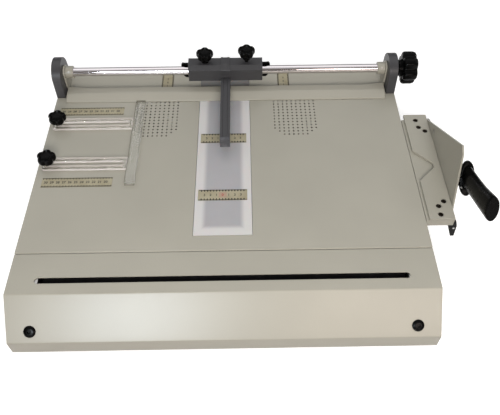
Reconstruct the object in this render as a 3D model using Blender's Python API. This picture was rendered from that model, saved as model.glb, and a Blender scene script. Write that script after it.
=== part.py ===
"""Desktop case maker for hard covers: a sheet-metal table with a lit window, a rail with a sliding
centre arm, a clear side gauge, a turn-in slot and a corner cutter, as separate jointed pieces.

Metres. X runs to the right, Y to the back and Z up. Dimensions below are in the table's frame: X = 0 is
its middle, Y = 0 its front bend and Z = 0 its top. The empty "machine" moves that frame so that the
world's origin is the middle of the whole machine's footprint, at the soles of the feet.
"""

import math

import bmesh
import bpy
from mathutils import Matrix, Vector

GAP = 0.0003  # left between pieces that touch
SHEET = 0.0016

# Casing
HALF_WIDTH = 0.320
TABLE_FRONT, TABLE_BACK = 0.0715, 0.500
TABLE_THICKNESS = 0.002
COVER_TOP = -0.0008
COVER_BACK = 0.070
SLOPE_RUN, SLOPE_FALL = 0.052, 0.0526
LIP_BOTTOM, LIP_RETURN = -0.0836, 0.014
FOOT_RADIUS, FOOT_HEIGHT = 0.015, 0.010
FOOT_X, FOOT_FRONT_Y, FOOT_BACK_Y = 0.270, 0.020, 0.455
SIDE_FACE = HALF_WIDTH - GAP
REAR_FACE = 0.4975
VENT_COUNT, VENT_PITCH, VENT_X = 6, 0.012, 0.127

# Mains inlet and its switch
INLET_X, INLET_Z = -0.245, -0.044
ROCKER_X, ROCKER_Z = INLET_X, INLET_Z + 0.0155
ROCKER_HALF_WIDTH, ROCKER_HALF_HEIGHT = 0.0095, 0.0062

# Turn-in slot and the rollers under it
SLOT_LEFT, SLOT_RIGHT, SLOT_Y, SLOT_WIDTH = -0.278, 0.277, 0.023, 0.010
ROLLER_RADIUS, ROLLER_Z, ROLLER_HALF = 0.009, -0.019, 0.272
AXLE_RADIUS, AXLE_HALF = 0.0035, 0.284
BLOCK_INNER, BLOCK_OUTER = 0.2755, 0.2835

# Black screws in the front slope
PLUG_X, PLUG_DOWN_SLOPE = 0.285, 0.056
PLUG_HEAD_RADIUS, PLUG_SHANK_RADIUS = 0.009, 0.005

# Lit window and scales
WINDOW_LEFT, WINDOW_RIGHT, WINDOW_FRONT, WINDOW_BACK = -0.049, 0.044, 0.100, 0.487
WINDOW_THICKNESS = 0.003
SCALE_THICKNESS = 0.0005
SIDE_SCALE_LEFT, SIDE_SCALE_RIGHT, SIDE_SCALE_WIDTH = -0.307, -0.189, 0.020
SIDE_SCALE_YS = (0.213, 0.3865)
WINDOW_SCALE_LEFT, WINDOW_SCALE_RIGHT, WINDOW_SCALE_WIDTH = -0.0440, 0.0370, 0.0225
WINDOW_SCALE_YS = (0.181, 0.312)
REAR_SCALE_XS, REAR_SCALE_WIDTH = (-0.1135, 0.1105), 0.0225
REAR_SCALE_FRONT, REAR_SCALE_BACK = 0.446, 0.488

# Suction fans
FAN_X, FAN_Y, FAN_SIDE, FAN_DEPTH = 0.127, 0.370, 0.080, 0.025
FAN_BORE, FAN_HUB, FAN_BLADES = 0.0375, 0.017, 7

# Back stop across the table
STOP_HALF, STOP_FRONT, STOP_BACK, STOP_HEIGHT = 0.300, 0.411, 0.4465, 0.0092

# Rail, its ends and the carriage
RAIL_Y, RAIL_Z, RAIL_RADIUS = 0.458, 0.0355, 0.008
BRACKET_INNER, BRACKET_RADIUS = 0.3035, 0.030
BRACKET_FRONT, BRACKET_BACK = 0.425, 0.489
COLLAR_INNER, COLLAR_RADIUS = 0.286, 0.0115
END_PLATE_INNER, END_PLATE_RADIUS = 0.300, 0.0135
TURN_KNOB_RADIUS, TURN_KNOB_NEAR, TURN_KNOB_FAR = 0.030, 0.332, 0.3575
CARRIAGE_HALF, CARRIAGE_FRONT, CARRIAGE_BACK = 0.069, 0.4405, 0.4755
CARRIAGE_TOP, CARRIAGE_BOTTOM, CARRIAGE_CHAMFER = 0.0555, 0.0245, 0.007
CARRIAGE_END_SHORT, CARRIAGE_END_LONG = 0.074, 0.0845
CARRIAGE_END_INNER, CARRIAGE_END_OUTER = 0.0122, 0.0150
ARM_HALF, ARM_TIP, ARM_TOP, ARM_BOTTOM, ARM_BACK = 0.0086, 0.275, 0.033, 0.0155, 0.455
STRAP_HALF, STRAP_THICKNESS = 0.0082, 0.0018
CARRIAGE_KNOB_XS = (-0.0373, 0.0397)
RIGHT_KNOB_LIFT = 0.0055  # the right knob stands unscrewed a little

# Star knobs
KNOB_RADIUS, KNOB_HEAD_HEIGHT = 0.016, 0.014
KNOB_NECK_RADIUS, KNOB_NECK_HEIGHT, GAUGE_KNOB_NECK = 0.007, 0.008, 0.006

# Clear side gauge
GAUGE_BOTTOM, GAUGE_TOP = 0.0011, 0.0061
STOP_BAR_LEFT, STOP_BAR_RIGHT, STOP_BAR_FRONT, STOP_BAR_BACK = -0.168, -0.1505, 0.2035, 0.409
GAUGE_ARM_LEFT, GAUGE_ARM_WIDTH = -0.312, 0.027
GAUGE_ARM_YS = (0.252, 0.350)
GAUGE_SLOT_LEFT, GAUGE_SLOT_RIGHT, GAUGE_SLOT_WIDTH = -0.306, -0.174, 0.009
GAUGE_KNOB_X, STUD_RADIUS = -0.3015, 0.003

# Corner cutter
CUTTER_LEFT, CUTTER_RIGHT, CUTTER_FRONT, CUTTER_BACK = 0.321, 0.3658, 0.122, 0.353
CUTTER_THICKNESS = 0.013
FENCE_LEFT, FENCE_BACK, FENCE_TOP = 0.325, 0.361, 0.0053
NOTCH_Y, NOTCH_HALF, NOTCH_TIP_X, NOTCH_TIP_HALF = 0.2365, 0.0345, 0.354, 0.0055
KNIFE_NEAR, KNIFE_FAR = 0.3662, 0.3690
KNIFE_PIVOT_Y, KNIFE_PIVOT_Z, KNIFE_BOLT_RADIUS = 0.305, 0.017, 0.004
BRACKET_NEAR, BRACKET_FAR = 0.3696, 0.3722
HANDLE_OUTER = 0.396
HANDLE_ROOT, HANDLE_END = Vector((0.3840, 0.1720, 0.0437)), Vector((0.3855, 0.0747, 0.0868))
GUARD_HALF_HEIGHT, GUARD_THICKNESS, GUARD_LEAN = 0.0285, 0.009, math.radians(-14)
GUIDE_FRONT, GUIDE_BACK = 0.1235, 0.1280

# The footprint's middle and the floor, in the table's frame
CENTRE_X = (HANDLE_OUTER - HALF_WIDTH) / 2
CENTRE_Y = (TABLE_BACK - SLOPE_RUN) / 2
FLOOR_Z = LIP_BOTTOM - GAP - FOOT_HEIGHT

ROUND = 24


# Making meshes


def material(name, colour, roughness, metallic=0.0, alpha=1.0):
    found = bpy.data.materials.get(name)
    if found:
        return found
    made = bpy.data.materials.new(name)
    made.use_nodes = True
    shader = made.node_tree.nodes["Principled BSDF"]
    shader.inputs["Base Color"].default_value = (*colour, 1.0)
    shader.inputs["Roughness"].default_value = roughness
    shader.inputs["Metallic"].default_value = metallic
    shader.inputs["Alpha"].default_value = alpha
    return made


CREAM = ("cream_paint", (0.41, 0.40, 0.33), 0.45)
GREY = ("grey_paint", (0.10, 0.10, 0.10), 0.5)
CHROME = ("chrome", (0.75, 0.72, 0.73), 0.08, 1.0)
STEEL = ("steel", (0.55, 0.55, 0.55), 0.3, 1.0)
BLACK = ("black_plastic", (0.012, 0.012, 0.012), 0.35)
RUBBER = ("black_rubber", (0.02, 0.02, 0.02), 0.8)
CLEAR = ("clear_acrylic", (0.85, 0.86, 0.82), 0.05, 0.0, 0.35)
OPAL = ("opal_acrylic", (0.62, 0.62, 0.63), 0.4)
TAPE = ("scale_tape", (0.48, 0.45, 0.33), 0.4)
BOARD = ("circuit_board", (0.75, 0.76, 0.74), 0.6)
GALVANISED = ("galvanised_steel", (0.45, 0.46, 0.47), 0.4, 1.0)


def add(name, mesh, look, parent, at=(0.0, 0.0, 0.0)):
    """Puts a mesh in the scene as one named piece."""
    piece = bpy.data.objects.new(name, mesh)
    bpy.context.scene.collection.objects.link(piece)
    piece.parent = parent
    piece.location = at
    mesh.materials.append(material(*look))
    return piece


def finish(name, shape, smooth=True):
    bmesh.ops.recalc_face_normals(shape, faces=shape.faces)
    mesh = bpy.data.meshes.new(name)
    shape.to_mesh(mesh)
    shape.free()
    if smooth:
        mesh.shade_smooth()
        mesh.set_sharp_from_angle(angle=math.radians(32))
    return mesh


def loft(name, rings, ring_closes=False):
    """A skin over rings of equal count, with flat ends, or closed on itself like a tube's wall."""
    shape = bmesh.new()
    rows = [[shape.verts.new(point) for point in ring] for ring in rings]
    pairs = list(zip(rows, rows[1:] + rows[:1])) if ring_closes else list(zip(rows, rows[1:]))
    for first, second in pairs:
        for i in range(len(first)):
            j = (i + 1) % len(first)
            shape.faces.new((first[i], first[j], second[j], second[i]))
    if not ring_closes:
        shape.faces.new(rows[0])
        shape.faces.new(rows[-1])
    return finish(name, shape)


def prism(name, outline, axis, low, high):
    """A flat outline pushed along an axis. Its two numbers are the other two axes in X, Y, Z order."""
    def place(point, along):
        values = list(point)
        values.insert("XYZ".index(axis), along)
        return Vector(values)

    return loft(name, [[place(point, along) for point in outline] for along in (low, high)])


def box(name, low, high):
    outline = [(low[0], low[1]), (high[0], low[1]), (high[0], high[1]), (low[0], high[1])]
    return prism(name, outline, "Z", low[2], high[2])


def arc(centre, radius, start, stop, steps):
    """Points on an arc, both ends included; angles in degrees."""
    angles = [math.radians(start + (stop - start) * i / steps) for i in range(steps + 1)]
    return [(centre[0] + radius * math.cos(a), centre[1] + radius * math.sin(a)) for a in angles]


def circle(axis, centre, radius, count=ROUND):
    """A ring of points about an axis through centre."""
    first, second = {"X": (1, 2), "Y": (2, 0), "Z": (0, 1)}[axis]
    ring = []
    for i in range(count):
        angle = 2 * math.pi * i / count
        point = Vector(centre)
        point[first] += radius * math.cos(angle)
        point[second] += radius * math.sin(angle)
        ring.append(point)
    return ring


def turned(name, axis, profile, count=ROUND, hollow=False):
    """A turned piece about an axis through its own origin. The profile lists (place along, radius)."""
    index = "XYZ".index(axis)
    rings = []
    for along, radius in profile:
        centre = Vector()
        centre[index] = along
        rings.append(circle(axis, centre, radius, count))
    return loft(name, rings, hollow)


def tube(name, axis, low, high, outer, inner, count=ROUND):
    return turned(name, axis, [(low, inner), (low, outer), (high, outer), (high, inner)], count, True)


def rounded_rectangle(low, high, radius, steps=3):
    corners = ((high[0], high[1], 0), (low[0], high[1], 90), (low[0], low[1], 180), (high[0], low[1], 270))
    points = []
    for x, y, start in corners:
        centre = (x - math.copysign(radius, x - low[0] - high[0] + x),
                  y - math.copysign(radius, y - low[1] - high[1] + y))
        points += arc(centre, radius, start, start + 90, steps)
    return points


def bend_line(corners, steps=4):
    """A line through (y, z, bend radius) corners as (point, normal to its left) pairs."""
    points = [Vector(corner[:2]) for corner in corners]
    radii = [corner[2] for corner in corners]
    line = []
    for i, point in enumerate(points):
        before = (point - points[i - 1]).normalized() if i else None
        after = (points[i + 1] - point).normalized() if i + 1 < len(points) else None
        if before is None or after is None:
            along = after or before
            line.append((point, Vector((-along.y, along.x))))
            continue
        turn = math.atan2(before.x * after.y - before.y * after.x, before.dot(after))
        left = Vector((-before.y, before.x))
        centre = point - before * radii[i] * math.tan(abs(turn) / 2)
        centre += left * math.copysign(radii[i], turn)
        for step in range(steps + 1):
            spun = Matrix.Rotation(turn * step / steps, 2) @ left
            line.append((centre - spun * math.copysign(radii[i], turn), spun))
    return line


def bent_sheet(name, corners, thickness, low_x, high_x):
    """Sheet metal bent along a line of (y, z, radius) corners; the thickness lies to the line's left."""
    line = bend_line(corners)
    outline = [tuple(point) for point, _ in line]
    outline += [tuple(point + normal * thickness) for point, normal in reversed(line)]
    return prism(name, outline, "X", low_x, high_x)


def apply_boolean(piece, operation, mesh, at=(0.0, 0.0, 0.0), turn=None):
    """Cuts or joins a helper shape, given in the piece's own frame."""
    helper = bpy.data.objects.new(f"{piece.name}_{operation.lower()}", mesh)
    bpy.context.scene.collection.objects.link(helper)
    helper.parent = piece
    helper.location = at
    if turn:
        helper.rotation_euler = turn
    helper.hide_render = True
    helper.display_type = "WIRE"
    modifier = piece.modifiers.new(operation.title(), "BOOLEAN")
    modifier.operation = operation
    modifier.object = helper


def cut(piece, mesh, at=(0.0, 0.0, 0.0), turn=None):
    apply_boolean(piece, "DIFFERENCE", mesh, at, turn)


def join(piece, mesh, at=(0.0, 0.0, 0.0), turn=None):
    apply_boolean(piece, "UNION", mesh, at, turn)


def capsule(start, stop, width, steps=6):
    """The outline of a slot with round ends, along X at the given centre line y."""
    radius = width / 2
    y = start[1]
    right = arc((stop[0] - radius, y), radius, -90, 90, steps)
    left = arc((start[0] + radius, y), radius, 90, 270, steps)
    return right + left


# Casing


def slope_point(down, out=0.0):
    """A point on the front slope, down it from the front bend and out from its face."""
    length = math.hypot(SLOPE_RUN, SLOPE_FALL)
    along = Vector((-SLOPE_RUN, -SLOPE_FALL)) / length
    normal = Vector((-SLOPE_FALL, SLOPE_RUN)) / length
    return Vector((0.0, COVER_TOP)) + along * down + normal * out


def slope_tilt():
    """The turn about X that points +Z out of the front slope."""
    return math.atan2(SLOPE_FALL, SLOPE_RUN)


def make_front_cover(machine):
    corners = [
        (COVER_BACK, COVER_TOP, 0.0),
        (0.0, COVER_TOP, 0.004),
        (-SLOPE_RUN, COVER_TOP - SLOPE_FALL, 0.003),
        (-SLOPE_RUN, LIP_BOTTOM, 0.0022),
        (-SLOPE_RUN + LIP_RETURN, LIP_BOTTOM, 0.0),
    ]
    cover = add("front_cover", bent_sheet("front_cover", corners, SHEET, -HALF_WIDTH, HALF_WIDTH),
                CREAM, machine)
    slot = capsule((SLOT_LEFT, SLOT_Y), (SLOT_RIGHT, SLOT_Y), SLOT_WIDTH)
    cut(cover, prism("turn_in_slot", slot, "Z", -0.01, 0.01))
    for side in (-1, 1):
        y, z = slope_point(PLUG_DOWN_SLOPE)
        hole = turned("plug_hole", "Z", [(-0.01, PLUG_SHANK_RADIUS + GAP), (0.01, PLUG_SHANK_RADIUS + GAP)], 12)
        cut(cover, hole, (side * PLUG_X, y, z), (slope_tilt(), 0, 0))


def make_front_screws(machine):
    for side, name in ((-1, "front_screw_left"), (1, "front_screw_right")):
        y, z = slope_point(PLUG_DOWN_SLOPE, GAP)
        profile = [(-0.011, PLUG_SHANK_RADIUS), (0.0, PLUG_SHANK_RADIUS), (0.0, PLUG_HEAD_RADIUS),
                   (0.0022, PLUG_HEAD_RADIUS), (0.0032, PLUG_HEAD_RADIUS - 0.0012)]
        screw = add(name, turned(name, "Z", profile), BLACK, machine, (side * PLUG_X, y, z))
        screw.rotation_euler.x = slope_tilt()
        cut(screw, turned("hex_socket", "Z", [(0.0012, 0.0042), (0.0042, 0.0042)], 6))


def make_table(machine):
    table = add("table_plate",
                box("table_plate", (-HALF_WIDTH, TABLE_FRONT, -TABLE_THICKNESS), (HALF_WIDTH, TABLE_BACK, 0)),
                CREAM, machine)
    cut(table, box("window_hole", (WINDOW_LEFT - GAP, WINDOW_FRONT - GAP, -0.01),
                   (WINDOW_RIGHT + GAP, WINDOW_BACK + GAP, 0.01)))
    for y in GAUGE_ARM_YS:
        hole = turned("stud_hole", "Z", [(-0.01, STUD_RADIUS + GAP), (0.01, STUD_RADIUS + GAP)], 12)
        cut(table, hole, (GAUGE_KNOB_X, y, 0))


def make_side_panels(machine):
    """Cheek plates just inside the sheets that wrap over them."""
    back, top = REAR_FACE - SHEET - 2 * GAP, -TABLE_THICKNESS - GAP
    under = SHEET + GAP
    bend_y, bend_z = slope_point(0.004, -under)
    foot_y, foot_z = slope_point(math.hypot(SLOPE_RUN, SLOPE_FALL) - 0.003, -under)
    front, lip_back = -SLOPE_RUN + under, -SLOPE_RUN + LIP_RETURN + GAP
    outline = [
        (back, top), (TABLE_FRONT, top), (TABLE_FRONT - 0.002, COVER_TOP - under), (0.004, COVER_TOP - under),
        (bend_y, bend_z), (foot_y, foot_z), (front, foot_z - 0.002), (front, LIP_BOTTOM + under + 0.002),
        (front + 0.002, LIP_BOTTOM + under), (lip_back, LIP_BOTTOM + under), (lip_back, LIP_BOTTOM),
        (back, LIP_BOTTOM),
    ]
    for side, name in ((-1, "side_panel_left"), (1, "side_panel_right")):
        near, far = sorted((side * (SIDE_FACE - 0.002), side * SIDE_FACE))
        add(name, prism(name, outline, "X", near, far), CREAM, machine)


def make_rear_panel(machine):
    half = HALF_WIDTH - 0.0005
    low, high = LIP_BOTTOM, -TABLE_THICKNESS - GAP
    rear = add("rear_panel", box("rear_panel", (-half, REAR_FACE - SHEET, low), (half, REAR_FACE, high)),
               CREAM, machine)
    for side in (-1, 1):
        for i in range(VENT_COUNT):
            x = side * VENT_X + (i - (VENT_COUNT - 1) / 2) * VENT_PITCH
            cut(rear, box("vent", (x - 0.0025, REAR_FACE - 0.01, -0.060), (x + 0.0025, REAR_FACE + 0.01, -0.022)))
    cut(rear, box("inlet_hole", (INLET_X - 0.0142, REAR_FACE - 0.01, INLET_Z - 0.0242),
                  (INLET_X + 0.0142, REAR_FACE + 0.01, INLET_Z + 0.0242)))


def make_base_pan(machine):
    """A tray under everything, with a low rim inside the panels."""
    half, rim = SIDE_FACE - 0.002 - 2 * GAP, LIP_BOTTOM + 0.014
    front, back = -SLOPE_RUN + LIP_RETURN + GAP, REAR_FACE - SHEET - 2 * GAP
    pan = add("base_pan", box("base_pan", (-half, front, LIP_BOTTOM), (half, back, rim)), GALVANISED, machine)
    cut(pan, box("pan_inside", (-half + SHEET, front + SHEET, LIP_BOTTOM + SHEET),
                 (half - SHEET, back - SHEET, 0.0)))


def make_feet(machine):
    places = {
        "foot_front_left": (-FOOT_X, FOOT_FRONT_Y), "foot_front_right": (FOOT_X, FOOT_FRONT_Y),
        "foot_rear_left": (-FOOT_X, FOOT_BACK_Y), "foot_rear_right": (FOOT_X, FOOT_BACK_Y),
    }
    profile = [(0.0, FOOT_RADIUS - 0.002), (0.001, FOOT_RADIUS), (FOOT_HEIGHT, FOOT_RADIUS + 0.001)]
    for name, (x, y) in places.items():
        add(name, turned(name, "Z", profile, 20), RUBBER, machine, (x, y, FLOOR_Z))


# What works inside the casing


def make_power(machine):
    """Mains inlet with its rocker switch, and the supply for the lamp and the fans."""
    front, face = REAR_FACE - 0.026, REAR_FACE + GAP
    inlet = add("power_inlet",
                box("power_inlet", (INLET_X - 0.0138, front, INLET_Z - 0.0238),
                    (INLET_X + 0.0138, face + 0.001, INLET_Z + 0.0238)), BLACK, machine)
    flange = rounded_rectangle((INLET_X - 0.0165, INLET_Z - 0.0265), (INLET_X + 0.0165, INLET_Z + 0.0265), 0.002)
    join(inlet, prism("inlet_flange", flange, "Y", face, face + 0.002))
    low_z = INLET_Z - 0.0215
    socket = [(INLET_X - 0.0122, low_z + 0.004), (INLET_X - 0.0085, low_z), (INLET_X + 0.0085, low_z),
              (INLET_X + 0.0122, low_z + 0.004), (INLET_X + 0.0122, low_z + 0.0162),
              (INLET_X - 0.0122, low_z + 0.0162)]
    cut(inlet, prism("inlet_socket", socket, "Y", REAR_FACE - 0.016, REAR_FACE + 0.01))
    cut(inlet, box("rocker_well", (ROCKER_X - ROCKER_HALF_WIDTH - GAP, REAR_FACE - 0.013,
                                   ROCKER_Z - ROCKER_HALF_HEIGHT - 0.0008),
                   (ROCKER_X + ROCKER_HALF_WIDTH + GAP, REAR_FACE + 0.01,
                    ROCKER_Z + ROCKER_HALF_HEIGHT + 0.0008)))
    make_rocker(machine)
    supply = rounded_rectangle((-0.285, 0.345), (-0.205, 0.440), 0.004)
    add("power_supply", prism("power_supply", supply, "Z", LIP_BOTTOM + SHEET + GAP, -0.045), GALVANISED, machine)


def make_rocker(machine):
    """The switch's rocker, off at rest: its lower half stands out."""
    tilt, nose = math.radians(7), 0.0016
    half, depth = ROCKER_HALF_HEIGHT - 0.0004, 0.006
    outline = [(0.0, -half), (nose, -half), (nose - 0.0012, 0.0), (nose, half), (0.0, half)]
    outline += arc((0.0, 0.0), depth, 140, 220, 4)
    turn = Matrix.Rotation(tilt, 2)
    outline = [tuple(turn @ Vector(point)) for point in outline]
    low, high = -ROCKER_HALF_WIDTH, ROCKER_HALF_WIDTH
    add("switch_rocker", prism("switch_rocker", outline, "X", low, high), BLACK, machine,
        (ROCKER_X, REAR_FACE - 0.001, ROCKER_Z))


def make_light(machine):
    """The opal window, on a ledge in the tray that holds the lamp board under it."""
    low = -WINDOW_THICKNESS
    add("light_diffuser",
        box("light_diffuser", (WINDOW_LEFT, WINDOW_FRONT, low), (WINDOW_RIGHT, WINDOW_BACK, 0)), OPAL, machine)
    rim, ledge, wall = 0.007, 0.003, 0.001
    top, bottom = -TABLE_THICKNESS - GAP, -0.024
    tray = add("lamp_tray",
               box("lamp_tray", (WINDOW_LEFT - rim, WINDOW_FRONT - rim, bottom),
                   (WINDOW_RIGHT + rim, WINDOW_BACK + rim, top)), GALVANISED, machine)
    cut(tray, box("tray_rim", (WINDOW_LEFT - GAP, WINDOW_FRONT - GAP, low - GAP),
                  (WINDOW_RIGHT + GAP, WINDOW_BACK + GAP, 0.01)))
    cut(tray, box("tray_inside", (WINDOW_LEFT + ledge, WINDOW_FRONT + ledge, bottom + wall),
                  (WINDOW_RIGHT - ledge, WINDOW_BACK - ledge, 0.01)))
    floor, inset = bottom + wall + GAP, 0.01
    add("lamp_board",
        box("lamp_board", (WINDOW_LEFT + inset, WINDOW_FRONT + inset, floor),
            (WINDOW_RIGHT - inset, WINDOW_BACK - inset, floor + 0.0016)), BOARD, machine)


def make_scales(machine):
    """Thin printed tapes on the table and on the window."""
    low, high = GAP, GAP + SCALE_THICKNESS
    half = SIDE_SCALE_WIDTH / 2
    for y, name in zip(SIDE_SCALE_YS, ("side_scale_front", "side_scale_rear")):
        add(name, box(name, (SIDE_SCALE_LEFT, y - half, low), (SIDE_SCALE_RIGHT, y + half, high)), TAPE, machine)
    half = WINDOW_SCALE_WIDTH / 2
    for y, name in zip(WINDOW_SCALE_YS, ("window_scale_front", "window_scale_rear")):
        add(name, box(name, (WINDOW_SCALE_LEFT, y - half, low), (WINDOW_SCALE_RIGHT, y + half, high)),
            TAPE, machine)
    half = REAR_SCALE_WIDTH / 2
    for x, name in zip(REAR_SCALE_XS, ("rear_scale_left", "rear_scale_right")):
        add(name, box(name, (x - half, REAR_SCALE_FRONT, low), (x + half, REAR_SCALE_BACK, high)), TAPE, machine)


def make_fans(machine):
    """Suction fans hung under the table where the holes are."""
    top = -TABLE_THICKNESS - GAP
    half = FAN_SIDE / 2
    for side, word in ((-1, "left"), (1, "right")):
        centre = (side * FAN_X, FAN_Y, top)
        shell = rounded_rectangle((-half, -half), (half, half), 0.005, 2)
        frame = add(f"fan_frame_{word}", prism("fan_frame", shell, "Z", -FAN_DEPTH, 0), BLACK, machine, centre)
        bore = [(0.01, FAN_BORE), (-FAN_DEPTH - 0.01, FAN_BORE)]
        cut(frame, turned("fan_bore", "Z", bore))
        strut = FAN_BORE + 0.001
        for turn in (0.0, math.pi / 2):
            bar = box("strut", (-strut, -0.0025, -FAN_DEPTH + 0.0005), (strut, 0.0025, -FAN_DEPTH + 0.003))
            join(frame, bar, turn=(0, 0, turn + math.pi / 4))
        motor = [(-FAN_DEPTH + 0.0002, FAN_HUB), (-FAN_DEPTH + 0.004, FAN_HUB),
                 (-FAN_DEPTH + 0.004, 0.002), (-0.008, 0.002)]
        join(frame, turned("motor_seat", "Z", motor, 16))
        make_rotor(machine, f"fan_rotor_{word}", centre)


def make_rotor(machine, name, centre):
    low, high = -FAN_DEPTH + 0.0045, -0.003
    hub = [(low, 0.0024), (low, FAN_HUB), (high, FAN_HUB), (high, 0.0),]
    rings = [circle("Z", (0, 0, along), radius or 0.004, 16) for along, radius in hub]
    well = circle("Z", (0, 0, -0.0075), 0.0024, 16)
    rotor = add(name, loft(name, [well, *rings]), BLACK, machine, centre)
    for i in range(FAN_BLADES):
        blade = box("blade", (FAN_HUB - 0.002, -0.0008, -0.011), (FAN_BORE - 0.0015, 0.0008, 0.0085))
        turn = Matrix.Rotation(2 * math.pi * i / FAN_BLADES, 4, "Z")
        pitch = Matrix.Rotation(math.radians(42), 4, "X")
        blade.transform(turn @ pitch)
        join(rotor, blade, (0, 0, (low + high) / 2))


def make_turn_in(machine):
    """Two rubber rollers that fold the cover's edge over, in blocks under the slot's ends."""
    reach = ROLLER_RADIUS + GAP
    for side, word in ((-1, "front"), (1, "rear")):
        profile = [(-AXLE_HALF, AXLE_RADIUS), (-ROLLER_HALF, AXLE_RADIUS), (-ROLLER_HALF, ROLLER_RADIUS),
                   (ROLLER_HALF, ROLLER_RADIUS), (ROLLER_HALF, AXLE_RADIUS), (AXLE_HALF, AXLE_RADIUS)]
        add(f"turn_in_roller_{word}", turned("turn_in_roller", "X", profile), RUBBER, machine,
            (0, SLOT_Y + side * reach, ROLLER_Z))
    for side, word in ((-1, "left"), (1, "right")):
        near, far = sorted((side * BLOCK_INNER, side * BLOCK_OUTER))
        top = COVER_TOP - SHEET - GAP
        block = add(f"roller_block_{word}",
                    box("roller_block", (near, SLOT_Y - 0.020, -0.030), (far, SLOT_Y + 0.020, top)), STEEL, machine)
        for way in (-1, 1):
            hole = [(near - 0.005, AXLE_RADIUS + GAP), (far + 0.005, AXLE_RADIUS + GAP)]
            cut(block, turned("axle_hole", "X", hole), (0, SLOT_Y + way * reach, ROLLER_Z))


# Rail, carriage and arm


def make_back_stop(machine):
    """A bent strip across the table that sheets are pushed against."""
    low, height = GAP, STOP_HEIGHT
    corners = [
        (STOP_BACK, height, 0.0), (STOP_FRONT + 0.017, height, 0.012),
        (STOP_FRONT, 0.0026, 0.0022), (STOP_FRONT, low, 0.0),
    ]
    stop = add("back_stop", bent_sheet("back_stop", corners, 0.0012, -STOP_HALF, STOP_HALF), CREAM, machine)
    notch = [(-0.285, STOP_BACK + 0.01), (-0.285, STOP_BACK - 0.0003), (-0.272, STOP_BACK - 0.0037),
             (0.272, STOP_BACK - 0.0037), (0.285, STOP_BACK - 0.0003), (0.285, STOP_BACK + 0.01)]
    cut(stop, prism("stop_notch", notch, "Z", -0.01, 0.02))


def make_rail_ends(machine):
    """Grey brackets, and inside them cream plates and collars about the rail."""
    hole = [(-0.05, RAIL_RADIUS + GAP), (0.05, RAIL_RADIUS + GAP)]
    middle = ((BRACKET_FRONT + BRACKET_BACK) / 2, RAIL_Z - 0.002)
    bracket_outline = [(BRACKET_FRONT, GAP), *arc(middle, BRACKET_RADIUS, 180, 0, 12), (BRACKET_BACK, GAP)]
    front, back = RAIL_Y - END_PLATE_RADIUS, RAIL_Y + END_PLATE_RADIUS
    plate_outline = [(front, STOP_HEIGHT + 0.003), *arc((RAIL_Y, RAIL_Z), END_PLATE_RADIUS, 180, 0, 10),
                     (back, GAP), (STOP_BACK + 0.001, GAP), (STOP_BACK + 0.001, STOP_HEIGHT)]
    for side, word in ((-1, "left"), (1, "right")):
        near, far = sorted((side * BRACKET_INNER, side * HALF_WIDTH))
        bracket = add(f"end_bracket_{word}", prism("end_bracket", bracket_outline, "X", near, far), GREY, machine)
        cut(bracket, turned("rail_hole", "X", hole), (near, RAIL_Y, RAIL_Z))
        near, far = sorted((side * END_PLATE_INNER, side * (BRACKET_INNER - GAP)))
        plate = add(f"end_plate_{word}", prism("end_plate", plate_outline, "X", near, far), CREAM, machine)
        cut(plate, turned("rail_hole", "X", hole), (near, RAIL_Y, RAIL_Z))
        near, far = sorted((side * COLLAR_INNER, side * (END_PLATE_INNER - GAP)))
        add(f"rail_collar_{word}", tube("rail_collar", "X", near, far, COLLAR_RADIUS, RAIL_RADIUS + GAP),
            CREAM, machine, (0, RAIL_Y, RAIL_Z))


def make_rail(rail):
    """The shaft and the knob that turns it."""
    profile = [(-0.317, RAIL_RADIUS - 0.001), (-0.316, RAIL_RADIUS), (0.3205, RAIL_RADIUS),
               (0.3205, 0.005), (0.345, 0.005)]
    add("rail_shaft", turned("rail_shaft", "X", profile), CHROME, rail)
    lobes, near, far = 6, TURN_KNOB_NEAR, TURN_KNOB_FAR
    rings = [circle("X", (0.3465, 0, 0), 0.0053, 36), circle("X", (0.3212, 0, 0), 0.0053, 36),
             circle("X", (0.3212, 0, 0), 0.015, 36), circle("X", (near, 0, 0), 0.016, 36)]
    for along, scale in ((near, 0.88), (near + 0.004, 1.0), (far - 0.005, 1.0), (far, 0.85)):
        rings.append(lobed_ring("X", along, scale * TURN_KNOB_RADIUS, lobes, 0.20, 36))
    add("rail_turn_knob", loft("rail_turn_knob", rings), BLACK, rail)


def lobe(angle, lobes, depth):
    """Radius of a lobed outline, from 1 at a lobe's top to 1 - depth between two."""
    wave = (1 + math.cos(lobes * angle)) / 2
    return 1 - depth * (1 - wave) ** 2


def lobed_ring(axis, along, radius, lobes, depth, count, first_lobe=0.0):
    """A ring like circle's, with lobes; first_lobe is the angle of one lobe's top."""
    centre = Vector()
    centre["XYZ".index(axis)] = along
    ring = []
    for i, point in enumerate(circle(axis, (0, 0, 0), radius, count)):
        ring.append(centre + point * lobe(2 * math.pi * i / count - first_lobe, lobes, depth))
    return ring


def star_knob(name, neck, stud_length):
    """A five-lobed clamping knob on a stud, standing on its own origin."""
    count = 40
    rings = [circle("Z", (0, 0, -stud_length), STUD_RADIUS, count), circle("Z", (0, 0, 0), STUD_RADIUS, count),
             circle("Z", (0, 0, 0), KNOB_NECK_RADIUS, count),
             circle("Z", (0, 0, neck), KNOB_NECK_RADIUS + 0.001, count)]
    for along, scale in ((0.0, 0.80), (0.003, 0.97), (0.010, 1.0), (KNOB_HEAD_HEIGHT, 0.78)):
        rings.append(lobed_ring("Z", neck + along, scale * KNOB_RADIUS, 5, 0.18, count, math.pi / 2))
    return loft(name, rings)


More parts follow.
